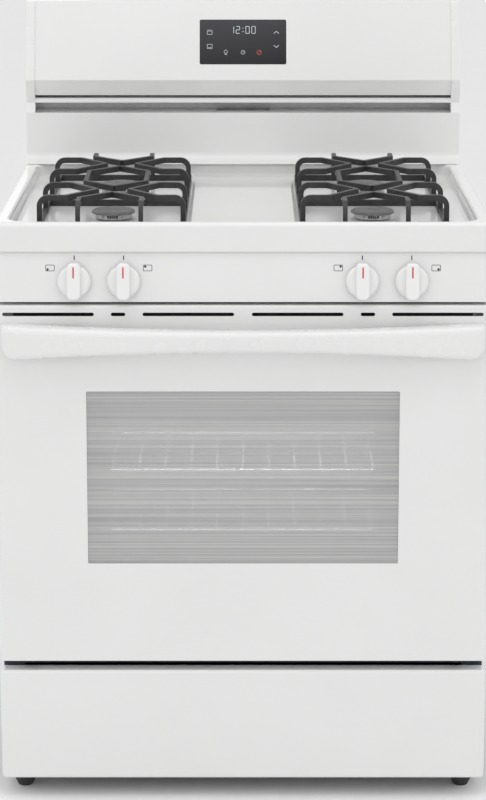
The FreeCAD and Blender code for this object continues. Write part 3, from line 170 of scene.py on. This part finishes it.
def speckled_enamel():
    """Dark blue-grey oven enamel with fine light specks."""
    material, tree, shader = new_material("speckled_enamel", Coat_Weight=0.5, Coat_Roughness=0.15)
    specks = add_node(tree, "ShaderNodeTexVoronoi", {"Vector": place(tree), "Scale": 260.0})
    tint(tree, shader, specks.outputs["Distance"], (0.0, (0.42, 0.44, 0.48)),
         (0.10, (0.30, 0.32, 0.36)), (0.16, (0.045, 0.05, 0.062)), (1.0, (0.035, 0.04, 0.05)))
    roughen(tree, shader, noise(tree, 40.0), 0.25, 0.4)
    add_bump(tree, shader, noise(tree, 500.0), 0.00004)
    return material


def wool_blanket():
    material, tree, shader = new_material("wool_blanket", Roughness=0.95, Sheen_Weight=0.3)
    fibres = noise(tree, 180.0, 8.0, stretched(tree, (1.0, 1.0, 3.0)))
    tint(tree, shader, fibres, (0.25, (0.52, 0.42, 0.18)), (0.75, (0.82, 0.74, 0.45)))
    add_bump(tree, shader, fibres, 0.002)
    return material


def woven_seal():
    """Braided glass fibre; the strands are painted lighter and the gaps between them darker, as painted
    shade.
    """
    material, tree, shader = new_material("woven_seal", Roughness=0.85, Sheen_Weight=0.4)
    first = add_node(tree, "ShaderNodeTexWave", {"Vector": stretched(tree, (1, 1, 1)), "Scale": 160.0},
                     bands_direction="DIAGONAL").outputs["Fac"]
    second = add_node(tree, "ShaderNodeTexWave", {"Vector": stretched(tree, (-1, 1, 1)), "Scale": 160.0},
                      bands_direction="DIAGONAL").outputs["Fac"]
    braid = calc(tree, "MAXIMUM", first, second)
    # The tint follows the braid: painted shade in the gaps between the strands.
    tint(tree, shader, braid, (0.2, 0.10), (0.9, 0.34))
    add_bump(tree, shader, braid, 0.0006)
    return material


def clear_glass(name, colour, alpha, roughness):
    material, tree, shader = new_material(name, Alpha=alpha, Coat_Weight=0.3)
    darker, lighter = shades(colour, 0.06)
    tint(tree, shader, noise(tree, 4.0), (0.3, darker), (0.7, lighter))
    roughen(tree, shader, noise(tree, 25.0), roughness, roughness + 0.04)
    return material


def lined_window_glass():
    """Grey oven glass with fine, level, uneven printed lines that show the racks faintly."""
    material, tree, shader = new_material("lined_window_glass", Coat_Weight=0.5, Coat_Roughness=0.05)
    fine = noise(tree, 1.0, 4.0, stretched(tree, (1.2, 1.0, 420.0)))
    broad = noise(tree, 1.0, 2.0, stretched(tree, (0.4, 1.0, 60.0)))
    streaks = calc(tree, "MULTIPLY_ADD", broad, 0.25, calc(tree, "MULTIPLY", fine, 0.75))
    tint(tree, shader, streaks, (0.38, (0.56, 0.56, 0.56)), (0.62, (0.72, 0.715, 0.71)))
    tree.links.new(spread(tree, streaks, 0.42, 0.62), shader.inputs["Alpha"])
    roughen(tree, shader, noise(tree, 20.0), 0.10, 0.16)
    return material


def ridged_caps():
    """Enamelled burner caps with fine ridges that run out from the middle of each burner; the ridge crests
    are painted lighter and the grooves darker, as painted light and shade.
    """
    material, tree, shader = new_material("cap_enamel", Metallic=0.25, Coat_Weight=0.15)
    low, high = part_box("burner_caps")
    cap_radius = 34 * MM
    ridge_count = 56
    middle = (low.y + high.y) / 2
    spacing = high.y - middle - cap_radius
    where = add_node(tree, "ShaderNodeSeparateXYZ", {"Vector": place(tree)}).outputs
    across = calc(tree, "SUBTRACT", calc(tree, "ABSOLUTE", where["X"]), high.x - cap_radius)
    from_middle = calc(tree, "ABSOLUTE", calc(tree, "SUBTRACT", where["Y"], middle))
    along = calc(tree, "SUBTRACT", from_middle, spacing)
    angle = calc(tree, "ARCTAN2", along, across)
    ridges = calc(tree, "SINE", calc(tree, "MULTIPLY", angle, ridge_count))
    # The tint follows the ridges: painted highlight on the crests and painted shade in the grooves.
    tint(tree, shader, spread(tree, ridges, 0.35, 0.65), (0.3, (0.13, 0.13, 0.135)),
         (0.7, (0.27, 0.27, 0.275)))
    roughen(tree, shader, noise(tree, 140.0), 0.34, 0.46)
    add_bump(tree, shader, ridges, 0.0004)
    return material


def display_glass():
    material, tree, shader = new_material("display_glass", Coat_Weight=0.1, Coat_Roughness=0.03,
                                          Specular_IOR_Level=0.25)
    height = add_node(tree, "ShaderNodeSeparateXYZ", {"Vector": place(tree)}).outputs["Z"]
    low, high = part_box("display_window")
    # Darker at the foot and lighter at the top: a painted reflection of the bright room on the black
    # glass.
    up = add_node(tree, "ShaderNodeMapRange", {"Value": height, "From Min": low.z, "From Max": high.z})
    tint(tree, shader, up.outputs["Result"], (0.0, (0.012, 0.012, 0.014)), (1.0, (0.05, 0.05, 0.055)))
    roughen(tree, shader, noise(tree, 30.0), 0.10, 0.15)
    return material


def green_board():
    material, tree, shader = new_material("green_board", Roughness=0.5)
    tracks = add_node(tree, "ShaderNodeTexBrick", {"Vector": place(tree), "Scale": 60.0,
                                                   "Color1": (0.02, 0.16, 0.06, 1),
                                                   "Color2": (0.03, 0.20, 0.08, 1),
                                                   "Mortar": (0.20, 0.34, 0.12, 1)})
    tree.links.new(tracks.outputs["Color"], shader.inputs["Base Color"])
    add_bump(tree, shader, tracks.outputs["Fac"], 0.0001)
    return material


def grained_plastic(name, colour, roughness):
    material, tree, shader = new_material(name)
    darker, lighter = shades(colour, 0.15)
    tint(tree, shader, noise(tree, 60.0), (0.3, darker), (0.7, lighter))
    roughen(tree, shader, noise(tree, 90.0), roughness - 0.08, roughness + 0.08)
    add_bump(tree, shader, noise(tree, 900.0, 2.0), 0.00008)
    return material


def painted_mark(name, colour):
    """Printed ink or paint with a slightly uneven edge of tone."""
    material, tree, shader = new_material(name, Coat_Weight=0.2)
    darker, lighter = shades(colour, 0.15)
    tint(tree, shader, noise(tree, 300.0), (0.3, darker), (0.7, lighter))
    roughen(tree, shader, noise(tree, 200.0), 0.35, 0.5)
    return material


def painted_glow_mark(name, colour, strength):
    """A pale symbol on the display's glass, lifted by a faint painted glow."""
    # Emission gives the symbol a faint painted glow.
    material, tree, shader = new_material(name, Emission_Strength=strength)
    darker, lighter = shades(colour, 0.1)
    painted_glow = ramp(tree, noise(tree, 200.0), (0.3, darker), (0.7, lighter))
    tree.links.new(painted_glow, shader.inputs["Base Color"])
    tree.links.new(painted_glow, shader.inputs["Emission Color"])
    roughen(tree, shader, noise(tree, 80.0), 0.4, 0.5)
    return material


MATERIALS = {
    "porcelain_white": glossy_white("porcelain", (0.80, 0.80, 0.795), 180.0, 0.00001, 0.16, 0.22),
    "white_plastic": glossy_white("white_plastic", (0.80, 0.80, 0.795), 160.0, 0.000012, 0.24, 0.30),
    "knob_plastic": glossy_white("knob_plastic", (0.84, 0.84, 0.835), 800.0, 0.00004, 0.16, 0.26),
    "black_plastic": grained_plastic("black_plastic", (0.03, 0.03, 0.032), 0.55),
    "steel_dark": rough_metal("dark_steel", (0.16, 0.16, 0.17), 300.0, 0.0001, 0.42, metallic=0.6),
    "galvanised": galvanised_sheet(),
    "enamel_dark": speckled_enamel(),
    "chrome_wire": rough_metal("chrome_wire", (0.82, 0.82, 0.83), 400.0, 0.00004, 0.30, metallic=0.6,
                              change=0.05),
    "steel_tube": rough_metal("steel_tube", (0.42, 0.42, 0.43), 260.0, 0.00008, 0.40),
    "mineral_wool": wool_blanket(),
    "lamp_glass": clear_glass("lamp_glass", (0.9, 0.9, 0.85), 0.55, 0.2),
    "gasket": woven_seal(),
    "cast_aluminium": rough_metal("cast_aluminium", (0.56, 0.56, 0.56), 500.0, 0.00015, 0.42),
    "aluminium_tube": rough_metal("aluminium_tube", (0.66, 0.66, 0.67), 200.0, 0.00005, 0.30),
    "brass": rough_metal("brass", (0.62, 0.46, 0.20), 350.0, 0.00006, 0.32),
    "cap_enamel": ridged_caps(),
    "ceramic_white": glossy_white("ceramic_white", (0.78, 0.75, 0.70), 600.0, 0.00005, 0.25, 0.4),
    "cast_iron": rough_metal("cast_iron", (0.035, 0.035, 0.037), 520.0, 0.00028, 0.40, metallic=0.1,
                             change=0.25),
    "display_glass": display_glass(),
    "window_glass": lined_window_glass(),
    "inner_glass": clear_glass("inner_glass", (0.5, 0.52, 0.52), 0.18, 0.06),
    "circuit_board": green_board(),
    "screw_steel": rough_metal("screw_steel", (0.5, 0.5, 0.5), 300.0, 0.00006, 0.34),
}
INK = painted_mark("black_ink", (0.03, 0.03, 0.03))
RED = painted_mark("red_paint", (0.62, 0.03, 0.03))
PALE = painted_glow_mark("pale_symbol", (0.62, 0.66, 0.68), 0.12)
RED_SYMBOL = painted_glow_mark("red_symbol", (0.60, 0.10, 0.08), 0.12)


def dress_frame():
    """Give every CAD node the material of its slot."""
    slots = {row["node"]: row["material_slot"] for row in frame["record"]["subparts"]}
    for name, node in frame["nodes"].items():
        node.data.materials.clear()
        node.data.materials.append(MATERIALS[slots[name]])


SOFT_EDGE_WIDTHS_MM = {
    "cooktop": 1.2, "grate_left": 1.6, "grate_right": 1.6, "door_outer_panel": 0.8,
    "door_top_trim": 0.8, "control_panel": 1.6, "backguard_panel": 1.0, "console_end_caps": 1.2,
    "console_panel": 0.6, "side_panel_left": 0.6, "side_panel_right": 0.6, "drawer_front": 0.8,
    "display_window": 0.5, "leveling_legs": 0.8,
}


def soften_edges():
    """Round the sharp edges of the outer CAD nodes a little."""
    for name, width in SOFT_EDGE_WIDTHS_MM.items():
        node = frame["nodes"][name]
        bevel = node.modifiers.new("soft_edges", "BEVEL")
        bevel.width = width * MM
        bevel.segments = 3
        bevel.limit_method = "ANGLE"
        bevel.angle_limit = math.radians(35)
        bevel.use_clamp_overlap = True
        bevel.harden_normals = True


dress_frame()
soften_edges()


# ---------------------------------------------------------------- piece tools

def piece_from(name, mesh, material, body):
    """A finished piece of the range from a bmesh, riding on a CAD body."""
    data = bpy.data.meshes.new(name)
    bmesh.ops.recalc_face_normals(mesh, faces=mesh.faces)
    mesh.to_mesh(data)
    mesh.free()
    data.materials.append(material)
    piece = bpy.data.objects.new(name, data)
    bpy.context.collection.objects.link(piece)
    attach(piece, body)
    return piece


def smooth_edges(piece, width, segments=3, angle=35):
    """Round a piece's edges and let its curved faces shade smoothly."""
    for polygon in piece.data.polygons:
        polygon.use_smooth = True
    bevel = piece.modifiers.new("soft_edges", "BEVEL")
    bevel.width = width
    bevel.segments = segments
    bevel.limit_method = "ANGLE"
    bevel.angle_limit = math.radians(angle)
    bevel.harden_normals = True
    return piece


def slab(mesh, outline, low, high):
    """Add a solid of the outline's (x, y) points between two levels."""
    bottom = [mesh.verts.new((x, y, low)) for x, y in outline]
    top = [mesh.verts.new((x, y, high)) for x, y in outline]
    mesh.faces.new(bottom[::-1])
    mesh.faces.new(top)
    count = len(outline)
    for index in range(count):
        after = (index + 1) % count
        mesh.faces.new((bottom[index], bottom[after], top[after], top[index]))


def band(mesh, outer, inner, low, high):
    """Add a flat ring between two outlines with the same number of points."""
    count = len(outer)
    rings = [[mesh.verts.new((x, y, level)) for x, y in outline]
             for level in (low, high) for outline in (outer, inner)]
    low_outer, low_inner, high_outer, high_inner = rings
    for index in range(count):
        after = (index + 1) % count
        for first, second in ((low_outer, high_outer), (high_outer, high_inner),
                              (high_inner, low_inner), (low_inner, low_outer)):
            mesh.faces.new((first[index], first[after], second[after], second[index]))


def rounded_outline(width, height, radius, centre=(0, 0), steps=6):
    """The points of a rectangle with rounded corners, anticlockwise."""
    points = []
    for quarter, (side, end) in enumerate(((1, 1), (-1, 1), (-1, -1), (1, -1))):
        for step in range(steps + 1):
            angle = math.pi / 2 * (quarter + step / steps)
            points.append((centre[0] + side * (width / 2 - radius) + radius * math.cos(angle),
                           centre[1] + end * (height / 2 - radius) + radius * math.sin(angle)))
    return points


def ring_outline(radius, centre=(0, 0), steps=24):
    """The points of a circle, anticlockwise."""
    return [(centre[0] + radius * math.cos(2 * math.pi * step / steps),
             centre[1] + radius * math.sin(2 * math.pi * step / steps)) for step in range(steps)]


def thick_line(mesh, points, width, low, high):
    """Add a flat stroke of even width along points in the piece's plane."""
    for start, end in zip(points, points[1:]):
        run = (Vector(end) - Vector(start)).normalized() * (width / 2)
        side = Vector((-run.y, run.x))
        corners = [Vector(start) - run - side, Vector(end) + run - side,
                   Vector(end) + run + side, Vector(start) - run + side]
        slab(mesh, [tuple(corner) for corner in corners], low, high)


def on_plane(mesh, origin, tilt):
    """Turn marks drawn in X and Y so that Y runs up a face that leans back by the tilt."""
    turn = Matrix.Rotation(math.radians(90) - tilt, 4, "X")
    bmesh.ops.transform(mesh, matrix=Matrix.Translation(origin) @ turn, verts=mesh.verts)


# ---------------------------------------------------------------- control panel marks

def panel_frame():
    """The control panel's lower front edge; every mark and knob is placed from it."""
    low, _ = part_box("control_panel")
    return Vector((0, low.y, low.z))


def on_panel(x, height):
    """A point on the leaning panel face at one X and one height above the floor."""
    corner = panel_frame()
    return Vector((x, corner.y + (height - corner.z) * math.tan(PANEL_TILT), height))


def knob_centre(name):
    """The X of a knob, from the stem it turns on."""
    low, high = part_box("valve_stem_" + name)
    return (low.x + high.x) / 2


KNOB_HEIGHT = 832 * MM
KNOB_REACH = 25 * MM
POINTER_RISE = 15 * MM
POINTER_SINK = 0.2 * MM
TICK_HEIGHT = 867.5 * MM
SYMBOL_HEIGHT = 852 * MM
INK_DEPTH = 0.15 * MM


def panel_tick(name):
    """The black index line printed above a knob."""
    mesh = bmesh.new()
    slab(mesh, rounded_outline(1.6 * MM, 6.6 * MM, 0.3 * MM), 0, INK_DEPTH)
    on_plane(mesh, on_panel(knob_centre(name), TICK_HEIGHT), PANEL_TILT)
    piece = piece_from("panel_tick_" + name, mesh, INK, "chassis")


def burner_symbol(name, across, dot):
    """A little outline of the cooktop with a dot at the burner that the knob feeds."""
    outer = rounded_outline(14 * MM, 9.7 * MM, 1.6 * MM)
    inner = rounded_outline(12.3 * MM, 8.0 * MM, 1.0 * MM)
    dot_centre = (dot[0] * 3.6 * MM, dot[1] * 2.1 * MM)
    mesh = bmesh.new()
    band(mesh, outer, inner, 0, INK_DEPTH)
    slab(mesh, ring_outline(1.8 * MM, dot_centre), 0, INK_DEPTH)
    on_plane(mesh, on_panel(across, SYMBOL_HEIGHT), PANEL_TILT)
    piece = piece_from("burner_symbol_" + name, mesh, INK, "chassis")


def knob_pointer(name):
    """The red line inlaid along the upper half of a knob's grip."""
    mesh = bmesh.new()
    slab(mesh, rounded_outline(2.2 * MM, 17 * MM, 0.8 * MM), 0, 0.5 * MM)
    outward = Vector((0, -math.cos(PANEL_TILT), math.sin(PANEL_TILT)))
    upward = Vector((0, math.sin(PANEL_TILT), math.cos(PANEL_TILT)))
    centre = on_panel(knob_centre(name), KNOB_HEIGHT)
    place_on_grip = centre + outward * (KNOB_REACH - POINTER_SINK) + upward * POINTER_RISE
    on_plane(mesh, place_on_grip, PANEL_TILT)
    piece = piece_from("knob_pointer_" + name, mesh, RED, "knob_" + name)
    smooth_edges(piece, 0.15 * MM, 2)


def panel_marks():
    """Each knob's marks; its burner's place is (left or right, front or back) as -1 or 1."""
    for name, symbol_across, burner in (("outer_left", -292.8, (-1, -1)), ("inner_left", -144.7, (-1, 1)),
                                        ("inner_right", 144.5, (1, 1)), ("outer_right", 293.0, (1, -1))):
        panel_tick(name)
        burner_symbol(name, symbol_across * MM, burner)
        knob_pointer(name)


panel_marks()


# ---------------------------------------------------------------- display

CONSOLE_RUN = 40.0 * MM
CONSOLE_RISE = 134.5 * MM
DISPLAY_LEAN = math.atan2(CONSOLE_RUN, CONSOLE_RISE)
MARK_CLEARANCE = 0.05 * MM


def on_display(across, up):
    """A point just in front of the display glass, from the middle of its foot."""
    low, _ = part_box("display_window")
    return Vector((across, low.y + up * math.tan(DISPLAY_LEAN) - MARK_CLEARANCE, low.z + up))


def display_mark(name, draw, across, up, material=PALE):
    mesh = bmesh.new()
    draw(mesh)
    on_plane(mesh, on_display(across * MM, up * MM), DISPLAY_LEAN)
    piece = piece_from("display_" + name, mesh, material, "chassis")


SEGMENTS = {"0": "abcdef", "1": "bc", "2": "abged"}
# Each stroke's two ends as (across, up), counted in strokes from the figure's lower left corner.
SEGMENT_ENDS = {
    "a": ((0, 2), (1, 2)), "b": ((1, 2), (1, 1)), "c": ((1, 1), (1, 0)), "d": ((0, 0), (1, 0)),
    "e": ((0, 1), (0, 0)), "f": ((0, 2), (0, 1)), "g": ((0, 1), (1, 1)),
}


def clock_digit(mesh, digit, left, size):
    """One seven-segment figure whose strokes stop short of each other."""
    stroke_gap, stroke_width = size * 0.14, size * 0.16
    for segment in SEGMENTS[digit]:
        start, end = (Vector((left + across * size, (up - 1) * size))
                      for across, up in SEGMENT_ENDS[segment])
        shorten = (end - start).normalized() * stroke_gap
        thick_line(mesh, [start + shorten, end - shorten], stroke_width, 0, INK_DEPTH)


def clock(mesh):
    """Four figures, two on each side of a pair of dots."""
    size, step, colon_gap, centring = 6.2 * MM, 10.4 * MM, 3.2 * MM, 1.6 * MM
    for number, digit in enumerate("1200"):
        gap = colon_gap if number > 1 else -colon_gap
        clock_digit(mesh, digit, (number - 2) * step + gap + centring, size)
    for up in (-3.0 * MM, 3.0 * MM):
        slab(mesh, ring_outline(0.8 * MM, (0, up), 16), 0, INK_DEPTH)


def oven_symbol(heat_above):
    """A square oven outline with its wavy heating line at the top or the foot."""
    def draw(mesh):
        outer = rounded_outline(9 * MM, 8 * MM, 1 * MM)
        inner = rounded_outline(7.8 * MM, 6.8 * MM, 0.7 * MM)
        band(mesh, outer, inner, 0, INK_DEPTH)
        middle = (2.0 if heat_above else -2.0) * MM
        step_across, swing = 0.9 * MM, 0.35 * MM
        wave = [((step - 3) * step_across, middle + (swing if step % 2 else -swing)) for step in range(7)]
        thick_line(mesh, wave, 0.5 * MM, 0, INK_DEPTH)
    return draw


def lamp_symbol(mesh):
    bulb_centre = (0, 1.2 * MM)
    band(mesh, ring_outline(3.2 * MM, bulb_centre), ring_outline(2.6 * MM, bulb_centre), 0, INK_DEPTH)
    for row in (-2.8, -4.0):
        thick_line(mesh, [(-1.4 * MM, row * MM), (1.4 * MM, row * MM)], 0.6 * MM, 0, INK_DEPTH)


def timer_symbol(mesh):
    band(mesh, ring_outline(3.6 * MM), ring_outline(3.0 * MM), 0, INK_DEPTH)
    thick_line(mesh, [(0, 2.2 * MM), (0, 0), (1.6 * MM, -0.8 * MM)], 0.5 * MM, 0, INK_DEPTH)


def cancel_symbol(mesh):
    band(mesh, ring_outline(4.2 * MM), ring_outline(3.5 * MM), 0, INK_DEPTH)
    thick_line(mesh, [(-2.1 * MM, -2.1 * MM), (2.1 * MM, 2.1 * MM)], 0.6 * MM, 0, INK_DEPTH)


def chevron(direction):
    """A raise (1) or lower (-1) arrow of two strokes."""
    def draw(mesh):
        half_width, point = 4 * MM, direction * 1.8 * MM
        thick_line(mesh, [(-half_width, -point), (0, point), (half_width, -point)], 0.9 * MM, 0, INK_DEPTH)
    return draw


def display_marks():
    """The marks with their places across and up the glass, in millimetres."""
    display_mark("clock", clock, 0, 58)
    display_mark("top_heat", oven_symbol(True), -58, 54)
    display_mark("bottom_heat", oven_symbol(False), -58, 30)
    display_mark("lamp", lamp_symbol, -30, 20)
    display_mark("timer", timer_symbol, 0, 20)
    display_mark("cancel", cancel_symbol, 28, 20, RED_SYMBOL)
    display_mark("raise", chevron(1), 58, 54)
    display_mark("lower", chevron(-1), 58, 30)


display_marks()


# ---------------------------------------------------------------- cooktop details

WELL_LEVEL = 900 * MM


def skin_rings(mesh, rings):
    """Join each ring of points to the next with faces, and close both ends."""
    for ring, following in zip(rings, rings[1:]):
        for index in range(len(ring)):
            after = (index + 1) % len(ring)
            mesh.faces.new((ring[index], ring[after], following[after], following[index]))
    mesh.faces.new(rings[0][::-1])
    mesh.faces.new(rings[-1])


def middle_plateau():
    """The low raised field pressed into the steel between the two grates."""
    grate_low, grate_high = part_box("grate_left")
    gap_between_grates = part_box("grate_right")[0].x - grate_high.x
    slope_width = 9 * MM
    width = gap_between_grates - 6 * MM
    depth = grate_high.y - grate_low.y - 10 * MM
    centre = (0, (grate_low.y + grate_high.y) / 2)
    foot = rounded_outline(width, depth, 14 * MM, centre, 8)
    top = rounded_outline(width - slope_width, depth - slope_width, 11 * MM, centre, 8)
    mesh = bmesh.new()
    levels = ((foot, -0.5 * MM), (foot, 0.1 * MM), (top, 2.0 * MM))
    rings = [[mesh.verts.new((x, y, WELL_LEVEL + rise)) for x, y in outline] for outline, rise in levels]
    skin_rings(mesh, rings)
    piece = piece_from("cooktop_plateau", mesh, MATERIALS["porcelain_white"], "chassis")
    smooth_edges(piece, 1.2 * MM, 4, 12)


middle_plateau()


# ---------------------------------------------------------------- door handle

END_RADIUS = 24 * MM
TIP_RADIUS = 6 * MM
FRONT_BOW = 24 * MM
GRIP_DEPTH = 21 * MM
GRIP_DEEPENING = 25 * MM
ARM_WIDTH = 30 * MM
FOOT_ARCH = 17.5 * MM
TOP_SAG = 5 * MM
CORNER_STEPS = 6
LARGEST_CORNER = 0.48


def rounded_drop(distance_in, radius):
    """How far a quarter-round end has fallen back at a distance into its radius."""
    inside = max(0.0, distance_in)
    return radius - math.sqrt(max(0.0, radius ** 2 - inside ** 2))


def handle_section(across, low, high):
    """The handle's rounded cross-section as (y, z) points, at one distance from the middle."""
    half = high.x
    bow = (across / half) ** 2
    tip = rounded_drop(abs(across) - half + TIP_RADIUS, TIP_RADIUS)
    front = low.y + FRONT_BOW * bow + tip
    grip_back = low.y + GRIP_DEPTH + GRIP_DEEPENING * (across / (half - ARM_WIDTH)) ** 2
    back = min(high.y, grip_back)
    foot = low.z + FOOT_ARCH * (1 - bow) + rounded_drop(abs(across) - half + END_RADIUS, END_RADIUS)
    top = high.z - TOP_SAG * (1 - bow) - tip
    largest_radius = min(back - front, top - foot) * LARGEST_CORNER
    corners = ((front, foot, 1, 1, 9 * MM), (back, foot, -1, 1, 3 * MM),
               (back, top, -1, -1, 3 * MM), (front, top, 1, -1, 12 * MM))
    points = []
    for quarter, (y, z, in_y, in_z, wanted_radius) in enumerate(corners):
        radius = min(wanted_radius, largest_radius)
        for step in range(CORNER_STEPS + 1):
            angle = math.pi / 2 * (quarter + 2 + step / CORNER_STEPS)
            points.append((y + in_y * radius + radius * math.cos(angle),
                           z + in_z * radius + radius * math.sin(angle)))
    return points


def door_handle():
    """The moulded bow handle, with round lower corners; its sections lie closer towards the ends."""
    low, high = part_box("door_handle")
    count = 120
    stations = [high.x * math.sin(math.pi / 2 * (2 * index / count - 1)) for index in range(count + 1)]
    mesh = bmesh.new()
    rings = [[mesh.verts.new((across, y, z)) for y, z in handle_section(across, low, high)]
             for across in stations]
    skin_rings(mesh, rings)
    piece = piece_from("door_handle_moulding", mesh, MATERIALS["white_plastic"], "door")
    for polygon in piece.data.polygons:
        polygon.use_smooth = len(polygon.vertices) == 4
    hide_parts("door_handle")


door_handle()


def door_side_returns():
    """The skin's folded edges beside the door liner, which hide the wool when the door is open."""
    liner_low, liner_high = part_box("door_liner")
    _, skin_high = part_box("door_outer_panel")
    inner = liner_high.x + 0.4 * MM
    outer = skin_high.x - 2.4 * MM
    thickness = 1.4 * MM
    height = liner_high.z - liner_low.z
    middle = Vector((0, liner_low.y, (liner_high.z + liner_low.z) / 2))
    for side_name, side in (("left", -1), ("right", 1)):
        strip = rounded_outline(outer - inner, height, 2 * MM, (side * (inner + outer) / 2, 0))
        mesh = bmesh.new()
        slab(mesh, strip, -thickness, 0)
        on_plane(mesh, middle, 0)
        piece = piece_from("door_side_return_" + side_name, mesh, MATERIALS["porcelain_white"], "door")
        smooth_edges(piece, 0.3 * MM, 2)


door_side_returns()


# ---------------------------------------------------------------- studio

def floor():
    """A pale ground, wide enough to run out of every view."""
    width, thickness = 60, 0.02
    mesh = bmesh.new()
    slab(mesh, rounded_outline(width, width, 1), -thickness, 0)
    data = bpy.data.meshes.new("studio_floor")
    mesh.to_mesh(data)
    mesh.free()
    material, tree, shader = new_material("studio_floor", Roughness=0.9)
    tint(tree, shader, noise(tree, 0.8), (0.3, 0.93), (0.7, 0.95))
    data.materials.append(material)
    ground = bpy.data.objects.new("studio_floor", data)
    bpy.context.collection.objects.link(ground)


def soft_light(name, position, aim, size, power):
    """A rectangular area light at a position, turned towards its aim."""
    light = bpy.data.lights.new(name, "AREA")
    light.shape = "RECTANGLE"
    light.size, light.size_y = size
    light.energy = power
    lamp = bpy.data.objects.new(name, light)
    lamp.location = position
    lamp.rotation_euler = (Vector(aim) - Vector(position)).to_track_quat("-Z", "Y").to_euler()
    bpy.context.collection.objects.link(lamp)


def surroundings():
    """An even white world with soft lights round the range and a small one inside the oven."""
    world = bpy.data.worlds.new("studio")
    world.use_nodes = True
    background = world.node_tree.nodes["Background"]
    background.inputs["Color"].default_value = (1, 1, 1, 1)
    background.inputs["Strength"].default_value = 0.84
    bpy.context.scene.world = world
    middle = (0, 0, 0.7)
    soft_light("key", (-1.2, -3.6, 2.6), middle, (2.6, 2.2), 8)
    soft_light("fill", (2.8, -2.6, 1.6), middle, (2.0, 2.4), 3)
    soft_light("overhead", (0, -1.2, 3.6), middle, (2.4, 1.8), 20)
    soft_light("behind", (-1.5, 3.4, 2.2), middle, (2.4, 2.0), 5)
    rack_low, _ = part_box("rack_upper")
    above_rack_front = Vector((0, rack_low.y + 40 * MM, rack_low.z + 150 * MM))
    down_and_forward = Vector((0, -0.04, -0.4))
    soft_light("oven_fill", above_rack_front, above_rack_front + down_and_forward, (0.5, 0.05), 1.0)


IMAGE_HEIGHT_PIXELS = 800
FOCAL_LENGTH_PIXELS = 2439.6
EYE_TO_DOOR = 3.622
EYE_HEIGHT = 1.583
LOOK_DOWN = math.radians(10.737)


def camera():
    """The eye stands in front of the door, above the cooktop, looking slightly down."""
    lens = bpy.data.cameras.new("camera")
    eye = bpy.data.objects.new("camera", lens)
    bpy.context.collection.objects.link(eye)
    bpy.context.scene.camera = eye
    lens.sensor_width = 36.0
    lens.lens = FOCAL_LENGTH_PIXELS * lens.sensor_width / IMAGE_HEIGHT_PIXELS
    lens.shift_y = -0.2
    lens.clip_end = 200
    door_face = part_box("door_outer_panel")[0].y
    eye.location = (0, door_face - EYE_TO_DOOR, EYE_HEIGHT)
    eye.rotation_euler = (math.radians(90) - LOOK_DOWN, 0, 0)


floor()
surroundings()
camera()
bpy.context.scene.view_settings.view_transform = "Standard"
